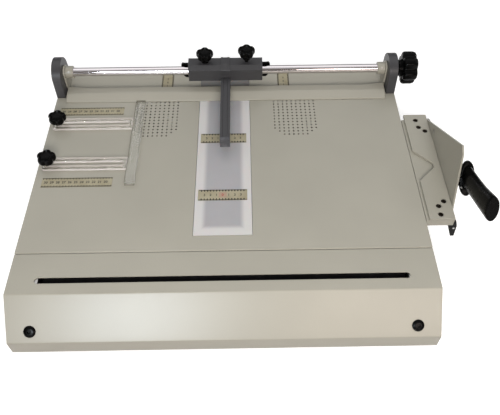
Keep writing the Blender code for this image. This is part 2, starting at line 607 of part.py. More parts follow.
def make_carriage(carriage):
    """The slide on the rail, about the rail's axis."""
    front, back = CARRIAGE_FRONT - RAIL_Y, CARRIAGE_BACK - RAIL_Y
    top, bottom, chamfer = CARRIAGE_TOP - RAIL_Z, CARRIAGE_BOTTOM - RAIL_Z, CARRIAGE_CHAMFER
    outline = [(front, bottom), (back, bottom), (back, top - chamfer), (back - chamfer, top),
               (front + chamfer, top), (front, top - chamfer)]
    body = add("carriage_body", prism("carriage_body", outline, "X", -CARRIAGE_HALF, CARRIAGE_HALF), GREY, carriage)
    bore = [(-0.1, RAIL_RADIUS + GAP), (0.1, RAIL_RADIUS + GAP)]
    cut(body, turned("rail_bore", "X", bore))
    for x in CARRIAGE_KNOB_XS:
        hole = [(0.0, STUD_RADIUS + GAP), (0.03, STUD_RADIUS + GAP)]
        cut(body, turned("knob_hole", "Z", hole, 12), (x, 0, 0))
    make_carriage_ends(carriage)
    make_arm(carriage, front, bottom)
    corners = [
        (back - chamfer, top + GAP, 0.0), (front + chamfer, top + GAP, 0.001),
        (front - GAP, top - chamfer, 0.001), (front - GAP, ARM_TOP - RAIL_Z + GAP, 0.0),
    ]
    add("arm_strap", bent_sheet("arm_strap", corners, -STRAP_THICKNESS, -STRAP_HALF, STRAP_HALF), GREY, carriage)


def make_carriage_ends(carriage):
    """Black shells behind the rail that stand out of the slide's ends as round tongues."""
    steps, low, high = 12, -95, 80
    for side, word in ((-1, "left"), (1, "right")):
        rings = []
        for i in range(steps + 1):
            angle = math.radians(low + (high - low) * i / steps)
            bulge = math.sqrt(math.sin(math.pi * i / steps))
            reach = CARRIAGE_END_SHORT + (CARRIAGE_END_LONG - CARRIAGE_END_SHORT) * bulge
            across = ((CARRIAGE_HALF + GAP, CARRIAGE_END_OUTER), (reach, CARRIAGE_END_OUTER),
                      (reach, CARRIAGE_END_INNER), (CARRIAGE_HALF + GAP, CARRIAGE_END_INNER))
            rings.append([Vector((side * x, radius * math.cos(angle), radius * math.sin(angle)))
                          for x, radius in across])
        add(f"carriage_end_{word}", loft("carriage_end", rings), BLACK, carriage)


def make_arm(carriage, front, bottom):
    """A grooved bar that butts on the slide, with a tongue under it."""
    tip, top, low = ARM_TIP - RAIL_Y, ARM_TOP - RAIL_Z, ARM_BOTTOM - RAIL_Z
    back = ARM_BACK - RAIL_Y
    outline = [(tip, low), (back, low), (back, bottom - GAP), (front - GAP, bottom - GAP), (front - GAP, top),
               (tip, top)]
    arm = add("centre_arm", prism("centre_arm", outline, "X", -ARM_HALF, ARM_HALF), GREY, carriage)
    cut(arm, box("arm_groove", (-0.0042, tip - 0.01, top - 0.0012), (0.0042, front + 0.01, top + 0.01)))


def make_carriage_knobs(carriage):
    top = CARRIAGE_TOP - RAIL_Z + GAP
    names, lifts = ("carriage_knob_left", "carriage_knob_right"), (0.0, RIGHT_KNOB_LIFT)
    for x, name, lift in zip(CARRIAGE_KNOB_XS, names, lifts):
        knob = star_knob(name, KNOB_NECK_HEIGHT, top - RAIL_RADIUS - GAP)
        add(name, knob, BLACK, carriage, (x, 0, top + lift))


# Side gauge


def make_gauge(machine):
    bar = rounded_rectangle((STOP_BAR_LEFT, STOP_BAR_FRONT), (STOP_BAR_RIGHT, STOP_BAR_BACK), 0.0015, 2)
    add("side_stop_bar", prism("side_stop_bar", bar, "Z", GAUGE_BOTTOM, GAUGE_TOP), CLEAR, machine)
    half = GAUGE_ARM_WIDTH / 2
    for y, word in zip(GAUGE_ARM_YS, ("front", "rear")):
        right = STOP_BAR_LEFT - GAP
        outline = [(right, y - half), (right, y + half), *arc((GAUGE_ARM_LEFT + 0.005, y + half - 0.005), 0.005, 90, 180, 3),
                   *arc((GAUGE_ARM_LEFT + 0.005, y - half + 0.005), 0.005, 180, 270, 3)]
        arm = add(f"gauge_arm_{word}", prism("gauge_arm", outline, "Z", GAUGE_BOTTOM, GAUGE_TOP), CLEAR, machine)
        slot = capsule((GAUGE_SLOT_LEFT, y), (GAUGE_SLOT_RIGHT, y), GAUGE_SLOT_WIDTH)
        cut(arm, prism("gauge_slot", slot, "Z", -0.01, 0.02))
        name = f"gauge_knob_{word}"
        add(name, star_knob(name, GAUGE_KNOB_NECK, 0.012), BLACK, machine, (GAUGE_KNOB_X, y, GAUGE_TOP + GAP))


# Corner cutter


def make_cutter_bed(machine):
    """The bed at table height, with a flange on the casing's side and a lug for the knife's guide."""
    bed = add("cutter_bed",
              box("cutter_bed", (CUTTER_LEFT, CUTTER_FRONT, -CUTTER_THICKNESS), (CUTTER_RIGHT, CUTTER_BACK, 0)),
              CREAM, machine)
    join(bed, box("bed_flange", (HALF_WIDTH + GAP, CUTTER_FRONT + 0.030, -0.045),
                  (HALF_WIDTH + 0.006, CUTTER_BACK - 0.020, -0.006)))
    lug = [(0.352, -0.010), (0.352, -0.0205), (0.373, -0.0205), (0.373, -0.0160), (0.362, -0.0160), (0.362, -0.010)]
    join(bed, prism("guide_lug", lug, "Y", GUIDE_BACK + GAP, GUIDE_BACK + 0.006))


def make_fence(machine):
    """The plate on the bed with the right-angled notch that a sheet's corner goes into."""
    tip = (NOTCH_TIP_X, NOTCH_TIP_HALF)
    outline = [
        (FENCE_LEFT, CUTTER_FRONT), (CUTTER_RIGHT, CUTTER_FRONT), (CUTTER_RIGHT, FENCE_BACK), (FENCE_LEFT, FENCE_BACK),
        (FENCE_LEFT, NOTCH_Y + NOTCH_HALF), (tip[0], NOTCH_Y + tip[1]), (tip[0], NOTCH_Y - tip[1]),
        (FENCE_LEFT, NOTCH_Y - NOTCH_HALF),
    ]
    fence = add("v_fence_plate", prism("v_fence_plate", outline, "Z", GAP, FENCE_TOP), CREAM, machine)
    # The sheet's corner passes under the fence's tip to reach the knife.
    cut(fence, box("sheet_gap", (0.345, NOTCH_Y - 0.014, -0.01), (CUTTER_RIGHT + 0.01, NOTCH_Y + 0.014, 0.0015)))


def make_knife(knife):
    """The knife plate and its handle, about the pivot bolt's axis. Points are (y, z) in the table's frame."""
    rear = [(0.354, 0.001), (0.352, -0.006)]
    edge = [(0.190, -0.0135), (0.1445, -0.0135)]
    front = [(0.1430, -0.007), (0.1540, 0.023), (0.1660, 0.055), (0.1795, 0.091), (0.1905, 0.099)]
    outline = [(y - KNIFE_PIVOT_Y, z - KNIFE_PIVOT_Z) for y, z in rear + edge + front]
    plate = add("knife_plate", prism("knife_plate", outline, "X", KNIFE_NEAR, KNIFE_FAR), CREAM, knife)
    hole = [(-0.02, KNIFE_BOLT_RADIUS + GAP), (0.02, KNIFE_BOLT_RADIUS + GAP)]
    cut(plate, turned("pivot_hole", "X", hole, 16), (KNIFE_NEAR, 0, 0))
    make_handle(knife)


def ellipse(centre, side, up, half_width, half_height, count=24):
    angles = [2 * math.pi * i / count for i in range(count)]
    return [centre + side * half_width * math.cos(a) + up * half_height * math.sin(a) for a in angles]


def make_handle(knife):
    """A grip that rises to the front from an oval guard, whose tang lies against the knife plate."""
    pivot = Vector((0, KNIFE_PIVOT_Y, KNIFE_PIVOT_Z))
    root, end = HANDLE_ROOT - pivot, HANDLE_END - pivot
    along = (end - root).normalized()
    up = Vector((1, 0, 0)).cross(along).normalized()
    side = along.cross(up).normalized()
    rings = []
    for share, half_width, half_height in ((0.0, 0.0088, 0.0155), (0.30, 0.0088, 0.0158), (0.65, 0.0096, 0.0176),
                                           (0.95, 0.0101, 0.0196), (1.0, 0.0092, 0.0188)):
        rings.append(ellipse(root + (end - root) * share, side, up, half_width, half_height))
    handle = add("knife_handle", loft("knife_handle", rings), BLACK, knife)
    half_width = HANDLE_OUTER - HANDLE_ROOT.x
    lean = Matrix.Rotation(GUARD_LEAN, 3, "X")
    up = lean @ up
    half = lean @ along * GUARD_THICKNESS / 2
    rim = lean @ along * 0.0015
    guard = [ellipse(root - half, side, up, half_width - 0.0015, GUARD_HALF_HEIGHT - 0.0015),
             ellipse(root - half + rim, side, up, half_width, GUARD_HALF_HEIGHT),
             ellipse(root + half - rim, side, up, half_width, GUARD_HALF_HEIGHT),
             ellipse(root + half, side, up, half_width - 0.0015, GUARD_HALF_HEIGHT - 0.0015)]
    join(handle, loft("handle_guard", guard))
    tang = root - along * 0.012
    outline = rounded_rectangle((tang.y - 0.014, tang.z - 0.012), (tang.y + 0.014, tang.z + 0.012), 0.004)
    join(handle, prism("handle_tang", outline, "X", KNIFE_FAR + GAP, HANDLE_ROOT.x + 0.004))


def make_knife_mount(machine):
    """The outer bracket, whose foot goes round the knife's rear end to the bed, and the bolt."""
    bottom, foot_top, foot_front, foot_back = -0.0185, -CUTTER_THICKNESS - GAP, 0.3585, 0.3645
    outline = [(0.290, bottom), (foot_back, bottom), (foot_back, foot_top), (0.357, -0.0010), (0.349, 0.0028),
               (0.335, 0.0055), (0.310, 0.0215), (0.299, 0.0215), (0.290, 0.0150)]
    bracket = add("knife_pivot_bracket",
                  prism("knife_pivot_bracket", outline, "X", BRACKET_NEAR, BRACKET_FAR), BLACK, machine)
    foot = [(0.335, 0.310), (0.362, 0.310), (0.362, foot_front), (BRACKET_FAR - 0.001, foot_front),
            (BRACKET_FAR - 0.001, foot_back), (0.335, foot_back)]
    join(bracket, prism("bracket_foot", foot, "Z", bottom, foot_top))
    hole = [(-0.02, KNIFE_BOLT_RADIUS + GAP), (0.02, KNIFE_BOLT_RADIUS + GAP)]
    cut(bracket, turned("bolt_hole", "X", hole, 16), (BRACKET_NEAR, KNIFE_PIVOT_Y, KNIFE_PIVOT_Z))
    head, head_radius = BRACKET_FAR + GAP, 0.0052
    profile = [(KNIFE_NEAR, KNIFE_BOLT_RADIUS), (head, KNIFE_BOLT_RADIUS), (head, head_radius),
               (head + 0.002, head_radius), (head + 0.0028, head_radius - 0.001)]
    add("knife_pivot_bolt", turned("knife_pivot_bolt", "X", profile, 16), STEEL, machine,
        (0, KNIFE_PIVOT_Y, KNIFE_PIVOT_Z))


def make_knife_guide(machine):
    """A black guard that hangs before the knife's toe."""
    outline = [(0.3662, -0.0050), (0.3700, -0.0050), (0.3740, -0.0165), (0.3758, -0.0445), (0.3698, -0.0445),
               (0.3590, -0.0160), (0.3590, -0.0135), (0.3662, -0.0135)]
    add("knife_guide", prism("knife_guide", outline, "Y", GUIDE_FRONT, GUIDE_BACK), BLACK, machine)


def axis_empty(name, at, machine):
    """An empty on a joint's axis, which carries what turns about it."""
    holder = bpy.data.objects.new(name, None)
    bpy.context.scene.collection.objects.link(holder)
    holder.parent = machine
    holder.location = at
    return holder


def main():
    for leftover in list(bpy.data.objects):
        bpy.data.objects.remove(leftover, do_unlink=True)
    machine = bpy.data.objects.new("machine", None)
    bpy.context.scene.collection.objects.link(machine)
    machine.location = (-CENTRE_X, -CENTRE_Y, -FLOOR_Z)
    make_front_cover(machine)
    make_front_screws(machine)
    make_table(machine)
    make_side_panels(machine)
    make_rear_panel(machine)
    make_base_pan(machine)
    make_feet(machine)
    make_power(machine)
    make_light(machine)
    make_scales(machine)
    make_fans(machine)
    make_turn_in(machine)
    make_back_stop(machine)
    make_rail_ends(machine)
    rail = axis_empty("rail_axis", (0, RAIL_Y, RAIL_Z), machine)
    make_rail(rail)
    make_carriage(rail)
    make_carriage_knobs(rail)
    make_gauge(machine)
    make_cutter_bed(machine)
    make_fence(machine)
    make_knife(axis_empty("knife_axis", (0, KNIFE_PIVOT_Y, KNIFE_PIVOT_Z), machine))
    make_knife_mount(machine)
    make_knife_guide(machine)


main()
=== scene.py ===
"""Looks of a desktop case maker for hard covers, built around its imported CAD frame.

Metres. X runs to the right, Y to the back and Z up. All places but the lights' are given in the table's
frame, whose origin is the middle of the casing's front bend at the height of the table's top.
"""

import math

import bmesh
import bpy
from mathutils import Euler, Matrix, Vector


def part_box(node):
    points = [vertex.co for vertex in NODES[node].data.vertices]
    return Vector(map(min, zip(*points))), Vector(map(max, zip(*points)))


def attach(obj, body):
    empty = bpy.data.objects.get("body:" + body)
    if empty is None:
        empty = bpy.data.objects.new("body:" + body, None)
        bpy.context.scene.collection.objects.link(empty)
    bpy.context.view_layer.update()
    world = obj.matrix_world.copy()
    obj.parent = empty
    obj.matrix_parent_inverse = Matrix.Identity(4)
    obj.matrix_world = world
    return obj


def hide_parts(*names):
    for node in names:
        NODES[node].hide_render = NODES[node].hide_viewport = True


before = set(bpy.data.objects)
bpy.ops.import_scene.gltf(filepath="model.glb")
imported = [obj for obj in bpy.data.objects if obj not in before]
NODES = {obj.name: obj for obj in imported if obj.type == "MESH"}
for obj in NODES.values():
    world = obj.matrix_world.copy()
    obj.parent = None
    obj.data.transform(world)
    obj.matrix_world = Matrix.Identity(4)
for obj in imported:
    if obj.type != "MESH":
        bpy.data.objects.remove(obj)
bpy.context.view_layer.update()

TABLE_LOW, TABLE_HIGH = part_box("table_plate")
COVER_LOW, COVER_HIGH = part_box("front_cover")
HALF_WIDTH = (TABLE_HIGH.x - TABLE_LOW.x) / 2
TABLE_FRONT = 0.0715
ORIGIN = Vector(((TABLE_LOW.x + TABLE_HIGH.x) / 2, TABLE_LOW.y - TABLE_FRONT, TABLE_HIGH.z))


def box_of(node):
    """A CAD node's lowest and highest corners in the table's frame."""
    low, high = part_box(node)
    return low - ORIGIN, high - ORIGIN


def middle_of(node):
    low, high = box_of(node)
    return (low + high) / 2


SIDES = ((-1, "left"), (1, "right"))
SMOOTH_ANGLE, BEVEL_ANGLE = math.radians(34), math.radians(32)
GAP = 0.0003
SEAM = 0.0001
SHEET = 0.0016
COVER_TOP = COVER_HIGH.z - ORIGIN.z
LIP_BOTTOM = COVER_LOW.z - ORIGIN.z
SLOPE_RUN, SLOPE_FALL = ORIGIN.y - COVER_LOW.y, 0.0526
SLOPE_TILT = math.atan2(SLOPE_FALL, SLOPE_RUN)
PLUG_X, PLUG_DOWN = 0.285, 0.056
STOP_LOW, STOP_HIGH = box_of("back_stop")
RAIL_LOW, RAIL_HIGH = box_of("rail_shaft")
RAIL_Y, RAIL_Z = (RAIL_LOW.y + RAIL_HIGH.y) / 2, (RAIL_LOW.z + RAIL_HIGH.z) / 2
RAIL_AXIS = (0, RAIL_Y, RAIL_Z)
RAIL_RADIUS = (RAIL_HIGH.z - RAIL_LOW.z) / 2
HANDLE_ROOT, HANDLE_END = Vector((0.3840, 0.1720, 0.0437)), Vector((0.3855, 0.0747, 0.0868))


# Procedural materials


def srgb(red, green, blue):
    """Linear colour of an 8-bit display colour."""
    def linear(value):
        value /= 255
        return value / 12.92 if value <= 0.04045 else ((value + 0.055) / 1.055) ** 2.4

    return (linear(red), linear(green), linear(blue), 1.0)


class Nodes:
    """A node tree, with short ways to add nodes to it."""

    def __init__(self, owner):
        owner.use_nodes = True
        self.tree = owner.node_tree

    def node(self, kind, settings=(), values=(), **inputs):
        """A new node with its settings, its first inputs in their order, and other inputs by name."""
        made = self.tree.nodes.new(f"ShaderNode{kind}")
        for key, value in dict(settings).items():
            setattr(made, key, value)
        for key, value in (*enumerate(values), *inputs.items()):
            self.plug(made, key, value)
        return made

    def plug(self, node, key, value):
        """Sets an input, given by its place or by its name with underscores, or links a socket to it."""
        socket = node.inputs[key.replace("_", " ") if isinstance(key, str) else key]
        if isinstance(value, bpy.types.NodeSocket):
            self.tree.links.new(value, socket)
        else:
            socket.default_value = value

    def math(self, operation, *values):
        return self.node("Math", {"operation": operation}, values).outputs[0]

    def spread(self, value, low, high, to_low=0.0, to_high=1.0, kind="LINEAR"):
        values = (value, low, high, to_low, to_high)
        return self.node("MapRange", {"interpolation_type": kind}, values).outputs["Result"]

    def mix(self, share, first, second):
        return self.node("Mix", {"data_type": "RGBA"}, (share,), A=first, B=second).outputs["Result"]


class Shader(Nodes):
    """A procedural material on one Principled surface."""

    def __init__(self, name):
        self.material = bpy.data.materials.new(name)
        super().__init__(self.material)
        self.surface = self.tree.nodes["Principled BSDF"]

    def set(self, **inputs):
        for key, value in inputs.items():
            self.plug(self.surface, key, value)

    def place(self):
        return self.node("TexCoord").outputs["Object"]

    def noise(self, scale, detail=3.0, roughness=0.5, stretch=None):
        place = self.place()
        if stretch:
            place = self.node("Mapping", Vector=place, Scale=stretch).outputs["Vector"]
        made = self.node("TexNoise", Vector=place, Scale=scale, Detail=detail, Roughness=roughness)
        return made.outputs["Fac"]

    def bump(self, height, strength, distance):
        made = self.node("Bump", Height=height, Strength=strength, Distance=distance)
        return made.outputs["Normal"]


def shade(colour, factor):
    return (*(channel * factor for channel in colour[:3]), 1.0)


def powder_coat(name, colour, roughness, grain, depth):
    """Paint with the fine ripple of a powder coat and slow drifts of tone."""
    s = Shader(name)
    drift = s.noise(9.0, 2.0)
    speck = s.noise(grain, 2.0, 0.6)
    tone = s.mix(s.spread(drift, 0.3, 0.7), shade(colour, 0.965), shade(colour, 1.03))
    s.set(Base_Color=s.mix(s.spread(speck, 0.35, 0.8, 0.0, 0.35), tone, shade(colour, 0.9)),
          Roughness=s.spread(speck, 0.3, 0.7, roughness - 0.04, roughness + 0.05),
          Normal=s.bump(s.noise(grain * 0.75, 1.0), 0.5, depth))
    return s


def moulded(name, colour, roughness, grain=1400.0, depth=0.00003):
    """Dark plastic or rubber with a faint moulded grain and rubbed patches."""
    s = Shader(name)
    worn = s.noise(60.0, 4.0, 0.65)
    fine = s.noise(grain, 2.0)
    s.set(Base_Color=s.mix(s.spread(worn, 0.45, 0.75), colour, shade(colour, 1.8)),
          Roughness=s.spread(worn, 0.3, 0.7, roughness - 0.07, roughness + 0.09), Specular_IOR_Level=0.09,
          Normal=s.bump(fine, 0.35, depth))
    return s


def metal(name, colour, roughness, stretch, grain=900.0, depth=0.00001):
    """Metal with drawn or ground lines along the axis that stretch leaves small."""
    s = Shader(name)
    lines = s.noise(grain, 3.0, 0.6, stretch)
    s.set(Base_Color=s.mix(lines, shade(colour, 0.9), shade(colour, 1.05)), Metallic=1.0,
          Roughness=s.spread(lines, 0.3, 0.7, roughness * 0.8, roughness * 1.3),
          Normal=s.bump(lines, 0.2, depth))
    return s


def clear_acrylic():
    """Clear bars with fine scuffs, mostly see-through."""
    s = Shader("clear_acrylic")
    scuffs = s.noise(260.0, 4.0, 0.7, (0.15, 1.0, 1.0))
    fresh, scuffed = (0.74, 0.72, 0.61, 1.0), (0.68, 0.66, 0.56, 1.0)
    s.set(Base_Color=s.mix(s.spread(scuffs, 0.55, 0.8), fresh, scuffed),
          Roughness=s.spread(scuffs, 0.5, 0.75, 0.015, 0.09),
          Normal=s.bump(s.noise(35.0, 1.0), 0.1, 0.0003),
          IOR=1.49, Transmission_Weight=1.0, Alpha=0.34, Specular_IOR_Level=0.3)
    return s


def sawn_acrylic(name, colour):
    """A clear bar's sawn and rubbed edges, with painted light in their colour: a pale colour paints a glint,
    a dark one paints shade.
    """
    s = Shader(name)
    streaks = s.noise(500.0, 3.0, 0.6, (0.08, 1.0, 1.0))
    s.set(Base_Color=s.mix(streaks, shade(colour, 0.9), shade(colour, 1.03)),
          Roughness=s.spread(streaks, 0.3, 0.7, 0.16, 0.34), IOR=1.49, Alpha=0.6,
          Normal=s.bump(streaks, 0.2, 0.00004))
    return s


def opal_window():
    """Opal acrylic with painted light: a whiter band round its border paints the glow of the lit window, and
    painted shade darkens it behind the back stop, where the rail and carriage shade it.
    """
    s = Shader("opal_acrylic")
    low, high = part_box("light_diffuser")
    middle, half = (low + high) / 2, (high - low) / 2
    split = s.node("SeparateXYZ", Vector=s.place())
    depths = []
    for axis, index in (("X", 0), ("Y", 1)):
        away = s.math("ABSOLUTE", s.math("SUBTRACT", split.outputs[axis], middle[index]))
        depths.append(s.math("SUBTRACT", half[index], away))
    # A whiter band round the border (srgb 202): painted glow of the lit window, fading into the cloudy
    # middle.
    inside = s.spread(s.math("MINIMUM", *depths), 0.0105, 0.0205, kind="SMOOTHSTEP")
    cloudy = s.mix(s.noise(30.0, 3.0), srgb(160, 160, 164), srgb(167, 167, 171))
    lit = s.mix(inside, srgb(202, 201, 201), cloudy)
    stop_low, stop_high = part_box("back_stop")
    # Painted shade: from the back stop on back, the window turns grey (srgb 122) where the rail and carriage
    # shade it.
    painted_shade_behind_stop = s.spread(split.outputs["Y"], stop_low.y, stop_high.y, kind="SMOOTHSTEP")
    fine = s.noise(1500.0, 2.0)
    s.set(Base_Color=s.mix(painted_shade_behind_stop, lit, srgb(122, 121, 120)),
          Roughness=s.spread(fine, 0.3, 0.7, 0.34, 0.46), Subsurface_Weight=0.12, Subsurface_Scale=0.004,
          Normal=s.bump(fine, 0.2, 0.00002))
    return s


def scale_tape():
    """Yellowed printed tape with faint stains."""
    s = Shader("scale_tape")
    stain = s.noise(45.0, 4.0, 0.6)
    s.set(Base_Color=s.mix(s.spread(stain, 0.35, 0.7), srgb(166, 160, 136), srgb(150, 143, 118)),
          Roughness=s.spread(stain, 0.3, 0.7, 0.3, 0.45), Normal=s.bump(s.noise(700.0), 0.2, 0.00002))
    return s


def ink(name, colour, worn=2.2):
    """Printed ink; worn is how much lighter its rubbed spots are."""
    s = Shader(name)
    patchy = s.noise(900.0, 3.0, 0.7)
    s.set(Base_Color=s.mix(s.spread(patchy, 0.5, 0.8), colour, shade(colour, worn)),
          Roughness=s.spread(patchy, 0.3, 0.7, 0.4, 0.6))
    return s


def circuit_board():
    """The lamp board's white solder mask."""
    s = Shader("circuit_board")
    patch = s.noise(120.0, 2.0)
    s.set(Base_Color=s.mix(s.spread(patch, 0.48, 0.52), srgb(226, 228, 222), srgb(214, 216, 209)),
          Roughness=s.spread(patch, 0.3, 0.7, 0.45, 0.6), Normal=s.bump(patch, 0.1, 0.00002))
    return s


CREAM_COLOUR, GREY_COLOUR = srgb(163, 161, 150), srgb(61, 61, 64)
LOOKS = {
    "cream_paint": powder_coat("cream_paint", CREAM_COLOUR, 0.33, 950.0, 0.00009),
    "grey_paint": powder_coat("grey_paint", GREY_COLOUR, 0.42, 1300.0, 0.00008),
    "chrome": metal("chrome", (0.93, 0.88, 0.90, 1.0), 0.06, (0.02, 1.0, 1.0)),
    "steel": metal("steel", (0.55, 0.54, 0.52, 1.0), 0.3, (0.05, 1.0, 1.0)),
    "galvanised_steel": metal("galvanised_steel", (0.48, 0.49, 0.50, 1.0), 0.42, (1.0, 1.0, 1.0), 160.0),
    "black_plastic": moulded("black_plastic", srgb(5, 5, 5), 0.26),
    "black_rubber": moulded("black_rubber", srgb(26, 26, 27), 0.72, 900.0, 0.00006),
    "clear_acrylic": clear_acrylic(),
    "opal_acrylic": opal_window(),
    "scale_tape": scale_tape(),
    "circuit_board": circuit_board(),
}
INK = ink("scale_ink", srgb(20, 17, 13))
RED_INK = ink("zero_ink", srgb(158, 30, 28))
ZERO_PATCH = ink("zero_patch", srgb(166, 142, 124), 1.15)
WHITE_INK = ink("switch_ink", srgb(205, 205, 200))
CAP_GREY = moulded("cap_grey", srgb(84, 85, 89), 0.45)
# Pale edges for the arms: partly the frosted look of sawn acrylic, partly a painted glint along them.
SAWN_EDGES_AND_GLINT = sawn_acrylic("sawn_acrylic", (0.96, 0.92, 0.92, 1.0))
# Dark edges for the stop bar: painted shade, the thin dark outlines of its upright faces.
PAINTED_SHADE_EDGES = sawn_acrylic("painted_shade_edges", (0.24, 0.23, 0.19, 1.0))
BLACK_OXIDE = metal("black_oxide", (0.035, 0.028, 0.022, 1.0), 0.38, (1.0, 1.0, 1.0), 500.0)


# Mesh building


def finish_mesh(name, shape):
    bmesh.ops.recalc_face_normals(shape, faces=shape.faces)
    mesh = bpy.data.meshes.new(name)
    shape.to_mesh(mesh)
    shape.free()
    mesh.shade_smooth()
    mesh.set_sharp_from_angle(angle=SMOOTH_ANGLE)
    return mesh


def loft(name, rings, ring_closes=False):
    """A skin over rings of equal count, with flat ends, or closed on itself like a tube's wall."""
    shape = bmesh.new()
    rows = [[shape.verts.new(point) for point in ring] for ring in rings]
    followers = rows[1:] + rows[:1] if ring_closes else rows[1:]
    for first, second in zip(rows, followers):
        for i in range(len(first)):
            j = (i + 1) % len(first)
            shape.faces.new((first[i], first[j], second[j], second[i]))
    if not ring_closes:
        shape.faces.new(rows[0])
        shape.faces.new(rows[-1])
    return finish_mesh(name, shape)


def prism(name, outline, axis, low, high):
    """A flat outline pushed along an axis. Its two numbers are the other two axes in X, Y, Z order."""
    index = "XYZ".index(axis)
    return loft(name, [[Vector((*point[:index], along, *point[index:])) for point in outline]
                       for along in (low, high)])


def block(name, low, high):
    outline = [(low[0], low[1]), (high[0], low[1]), (high[0], high[1]), (low[0], high[1])]
    return prism(name, outline, "Z", low[2], high[2])


def circle(axis, along, radius, count, lobes=0, depth=0.0, first_lobe=0.0):
    """A ring about an axis through the origin, which may dip by a share of its radius between lobes."""
    first, second = {"X": (1, 2), "Y": (2, 0), "Z": (0, 1)}[axis]
    ring = []
    for i in range(count):
        angle = 2 * math.pi * i / count
        dip = (1 - math.cos(lobes * (angle - first_lobe))) / 2
        reach = radius * (1 - depth * dip ** 2)
        point = Vector()
        point["XYZ".index(axis)] = along
        point[first], point[second] = reach * math.cos(angle), reach * math.sin(angle)
        ring.append(point)
    return ring


def turned(name, axis, profile, count=48, hollow=False):
    """A turned piece about an axis through its own origin. The profile lists (place along, radius)."""
    return loft(name, [circle(axis, along, radius, count) for along, radius in profile], hollow)


def merged(name, meshes):
    """Several meshes, each a (mesh, matrix) pair, as one."""
    shape = bmesh.new()
    for mesh, matrix in meshes:
        mesh.transform(matrix)
        shape.from_mesh(mesh)
        bpy.data.meshes.remove(mesh)
    return finish_mesh(name, shape)


def pegs(name, places, radius, low, high, count):
    """Upright round pegs at (x, y) places, for cutting a pattern of holes."""
    profile = [(low, radius), (high, radius)]
    return merged(name, [(turned("peg", "Z", profile, count), Matrix.Translation((x, y, 0.0)))
                         for x, y in places])


def arc(centre, radius, start, stop, steps):
    """Points on an arc between two angles in degrees."""
    angles = [math.radians(start + (stop - start) * i / steps) for i in range(steps + 1)]
    return [(centre[0] + radius * math.cos(a), centre[1] + radius * math.sin(a)) for a in angles]


def rounded(low, high, radius):
    """A rectangle with rounded corners, between two (x, y) corners."""
    left, right, front, back = low.x + radius, high.x - radius, low.y + radius, high.y - radius
    centres = ((right, back), (left, back), (left, front), (right, front))
    return [point for turn, centre in enumerate(centres)
            for point in arc(centre, radius, 90 * turn, 90 * turn + 90, 8)]


def slot(left, right, y, radius, low, high):
    """A round-ended slot along X, for cutting through flat stock."""
    outline = arc((right - radius, y), radius, -90, 90, 16) + arc((left + radius, y), radius, 90, 270, 16)
    return prism("slot", outline, "Z", low, high)


def dome(base, radius, tall, narrowing):
    """A screw head's rounded top, as (place along, radius) points from its base up."""
    angles = [math.pi / 16 * i for i in range(1, 9)]
    return [(base + tall * math.sin(a), radius - narrowing * (1 - math.cos(a))) for a in angles]


def bend_line(corners):
    """A line through (y, z, bend radius) corners as (point, normal to its left) pairs."""
    steps = 10
    points = [Vector(corner[:2]) for corner in corners]
    radii = [corner[2] for corner in corners]
    line = []
    for i, point in enumerate(points):
        before = (point - points[i - 1]).normalized() if i else None
        after = (points[i + 1] - point).normalized() if i + 1 < len(points) else None
        if before is None or after is None:
            along = after or before
            line.append((point, Vector((-along.y, along.x))))
            continue
        turn = math.atan2(before.x * after.y - before.y * after.x, before.dot(after))
        left = Vector((-before.y, before.x))
        centre = point - before * radii[i] * math.tan(abs(turn) / 2)
        centre += left * math.copysign(radii[i], turn)
        for step in range(steps + 1):
            spun = Matrix.Rotation(turn * step / steps, 2) @ left
            line.append((centre - spun * math.copysign(radii[i], turn), spun))
    return line


def bent_sheet(name, corners, thickness, low_x, high_x, start=0.0):
    """Sheet bent along a line of (y, z, radius) corners, from start to thickness on the line's left."""
    line = bend_line(corners)
    outline = [tuple(point + normal * start) for point, normal in line]
    outline += [tuple(point + normal * thickness) for point, normal in reversed(line)]
    return prism(name, outline, "X", low_x, high_x)


# Putting pieces on the frame


def add(name, mesh, look, body="machine", at=(0.0, 0.0, 0.0), turn=(0.0, 0.0, 0.0), replaces=()):
    """Puts a mesh on a CAD body as one named piece; at is in the table's frame."""
    piece = bpy.data.objects.new(name, mesh)
    bpy.context.scene.collection.objects.link(piece)
    piece.location = ORIGIN + Vector(at)
    piece.rotation_euler = turn
    shader = LOOKS[look] if isinstance(look, str) else look
    mesh.materials.append(shader.material)
    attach(piece, body)
    if replaces:
        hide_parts(*replaces)
    return piece


def soften(piece, width, segments=2):
    """Rounds a piece's sharp edges, so that they catch the light."""
    bevel = piece.modifiers.new("Soft_edges", "BEVEL")
    bevel.width = width
    bevel.segments = segments
    bevel.limit_method = "ANGLE"
    bevel.angle_limit = BEVEL_ANGLE
    bevel.harden_normals = True
    bevel.use_clamp_overlap = True


def dress(name, look, bevel):
    """Gives a CAD node its finish, with its flat faces made whole and its edges softened."""
    node = NODES[name]
    node.data.materials.clear()
    node.data.materials.append(LOOKS[look].material)
    for polygon in node.data.polygons:
        polygon.material_index = 0
    weld = node.modifiers.new("Weld", "WELD")
    weld.merge_threshold = 0.00001
    flat = node.modifiers.new("Whole_faces", "DECIMATE")
    flat.decimate_type = "DISSOLVE"
    flat.angle_limit = math.radians(0.5)
    soften(node, bevel)


def extrude(name, node, outline, axis, look, body="machine"):
    """Puts a flat outline in a CAD node's place, pushed along an axis through the node's whole length."""
    index = "XYZ".index(axis)
    low, high = (corner[index] for corner in box_of(node))
    return add(name, prism(name, outline, axis, low, high), look, body, replaces=(node,))


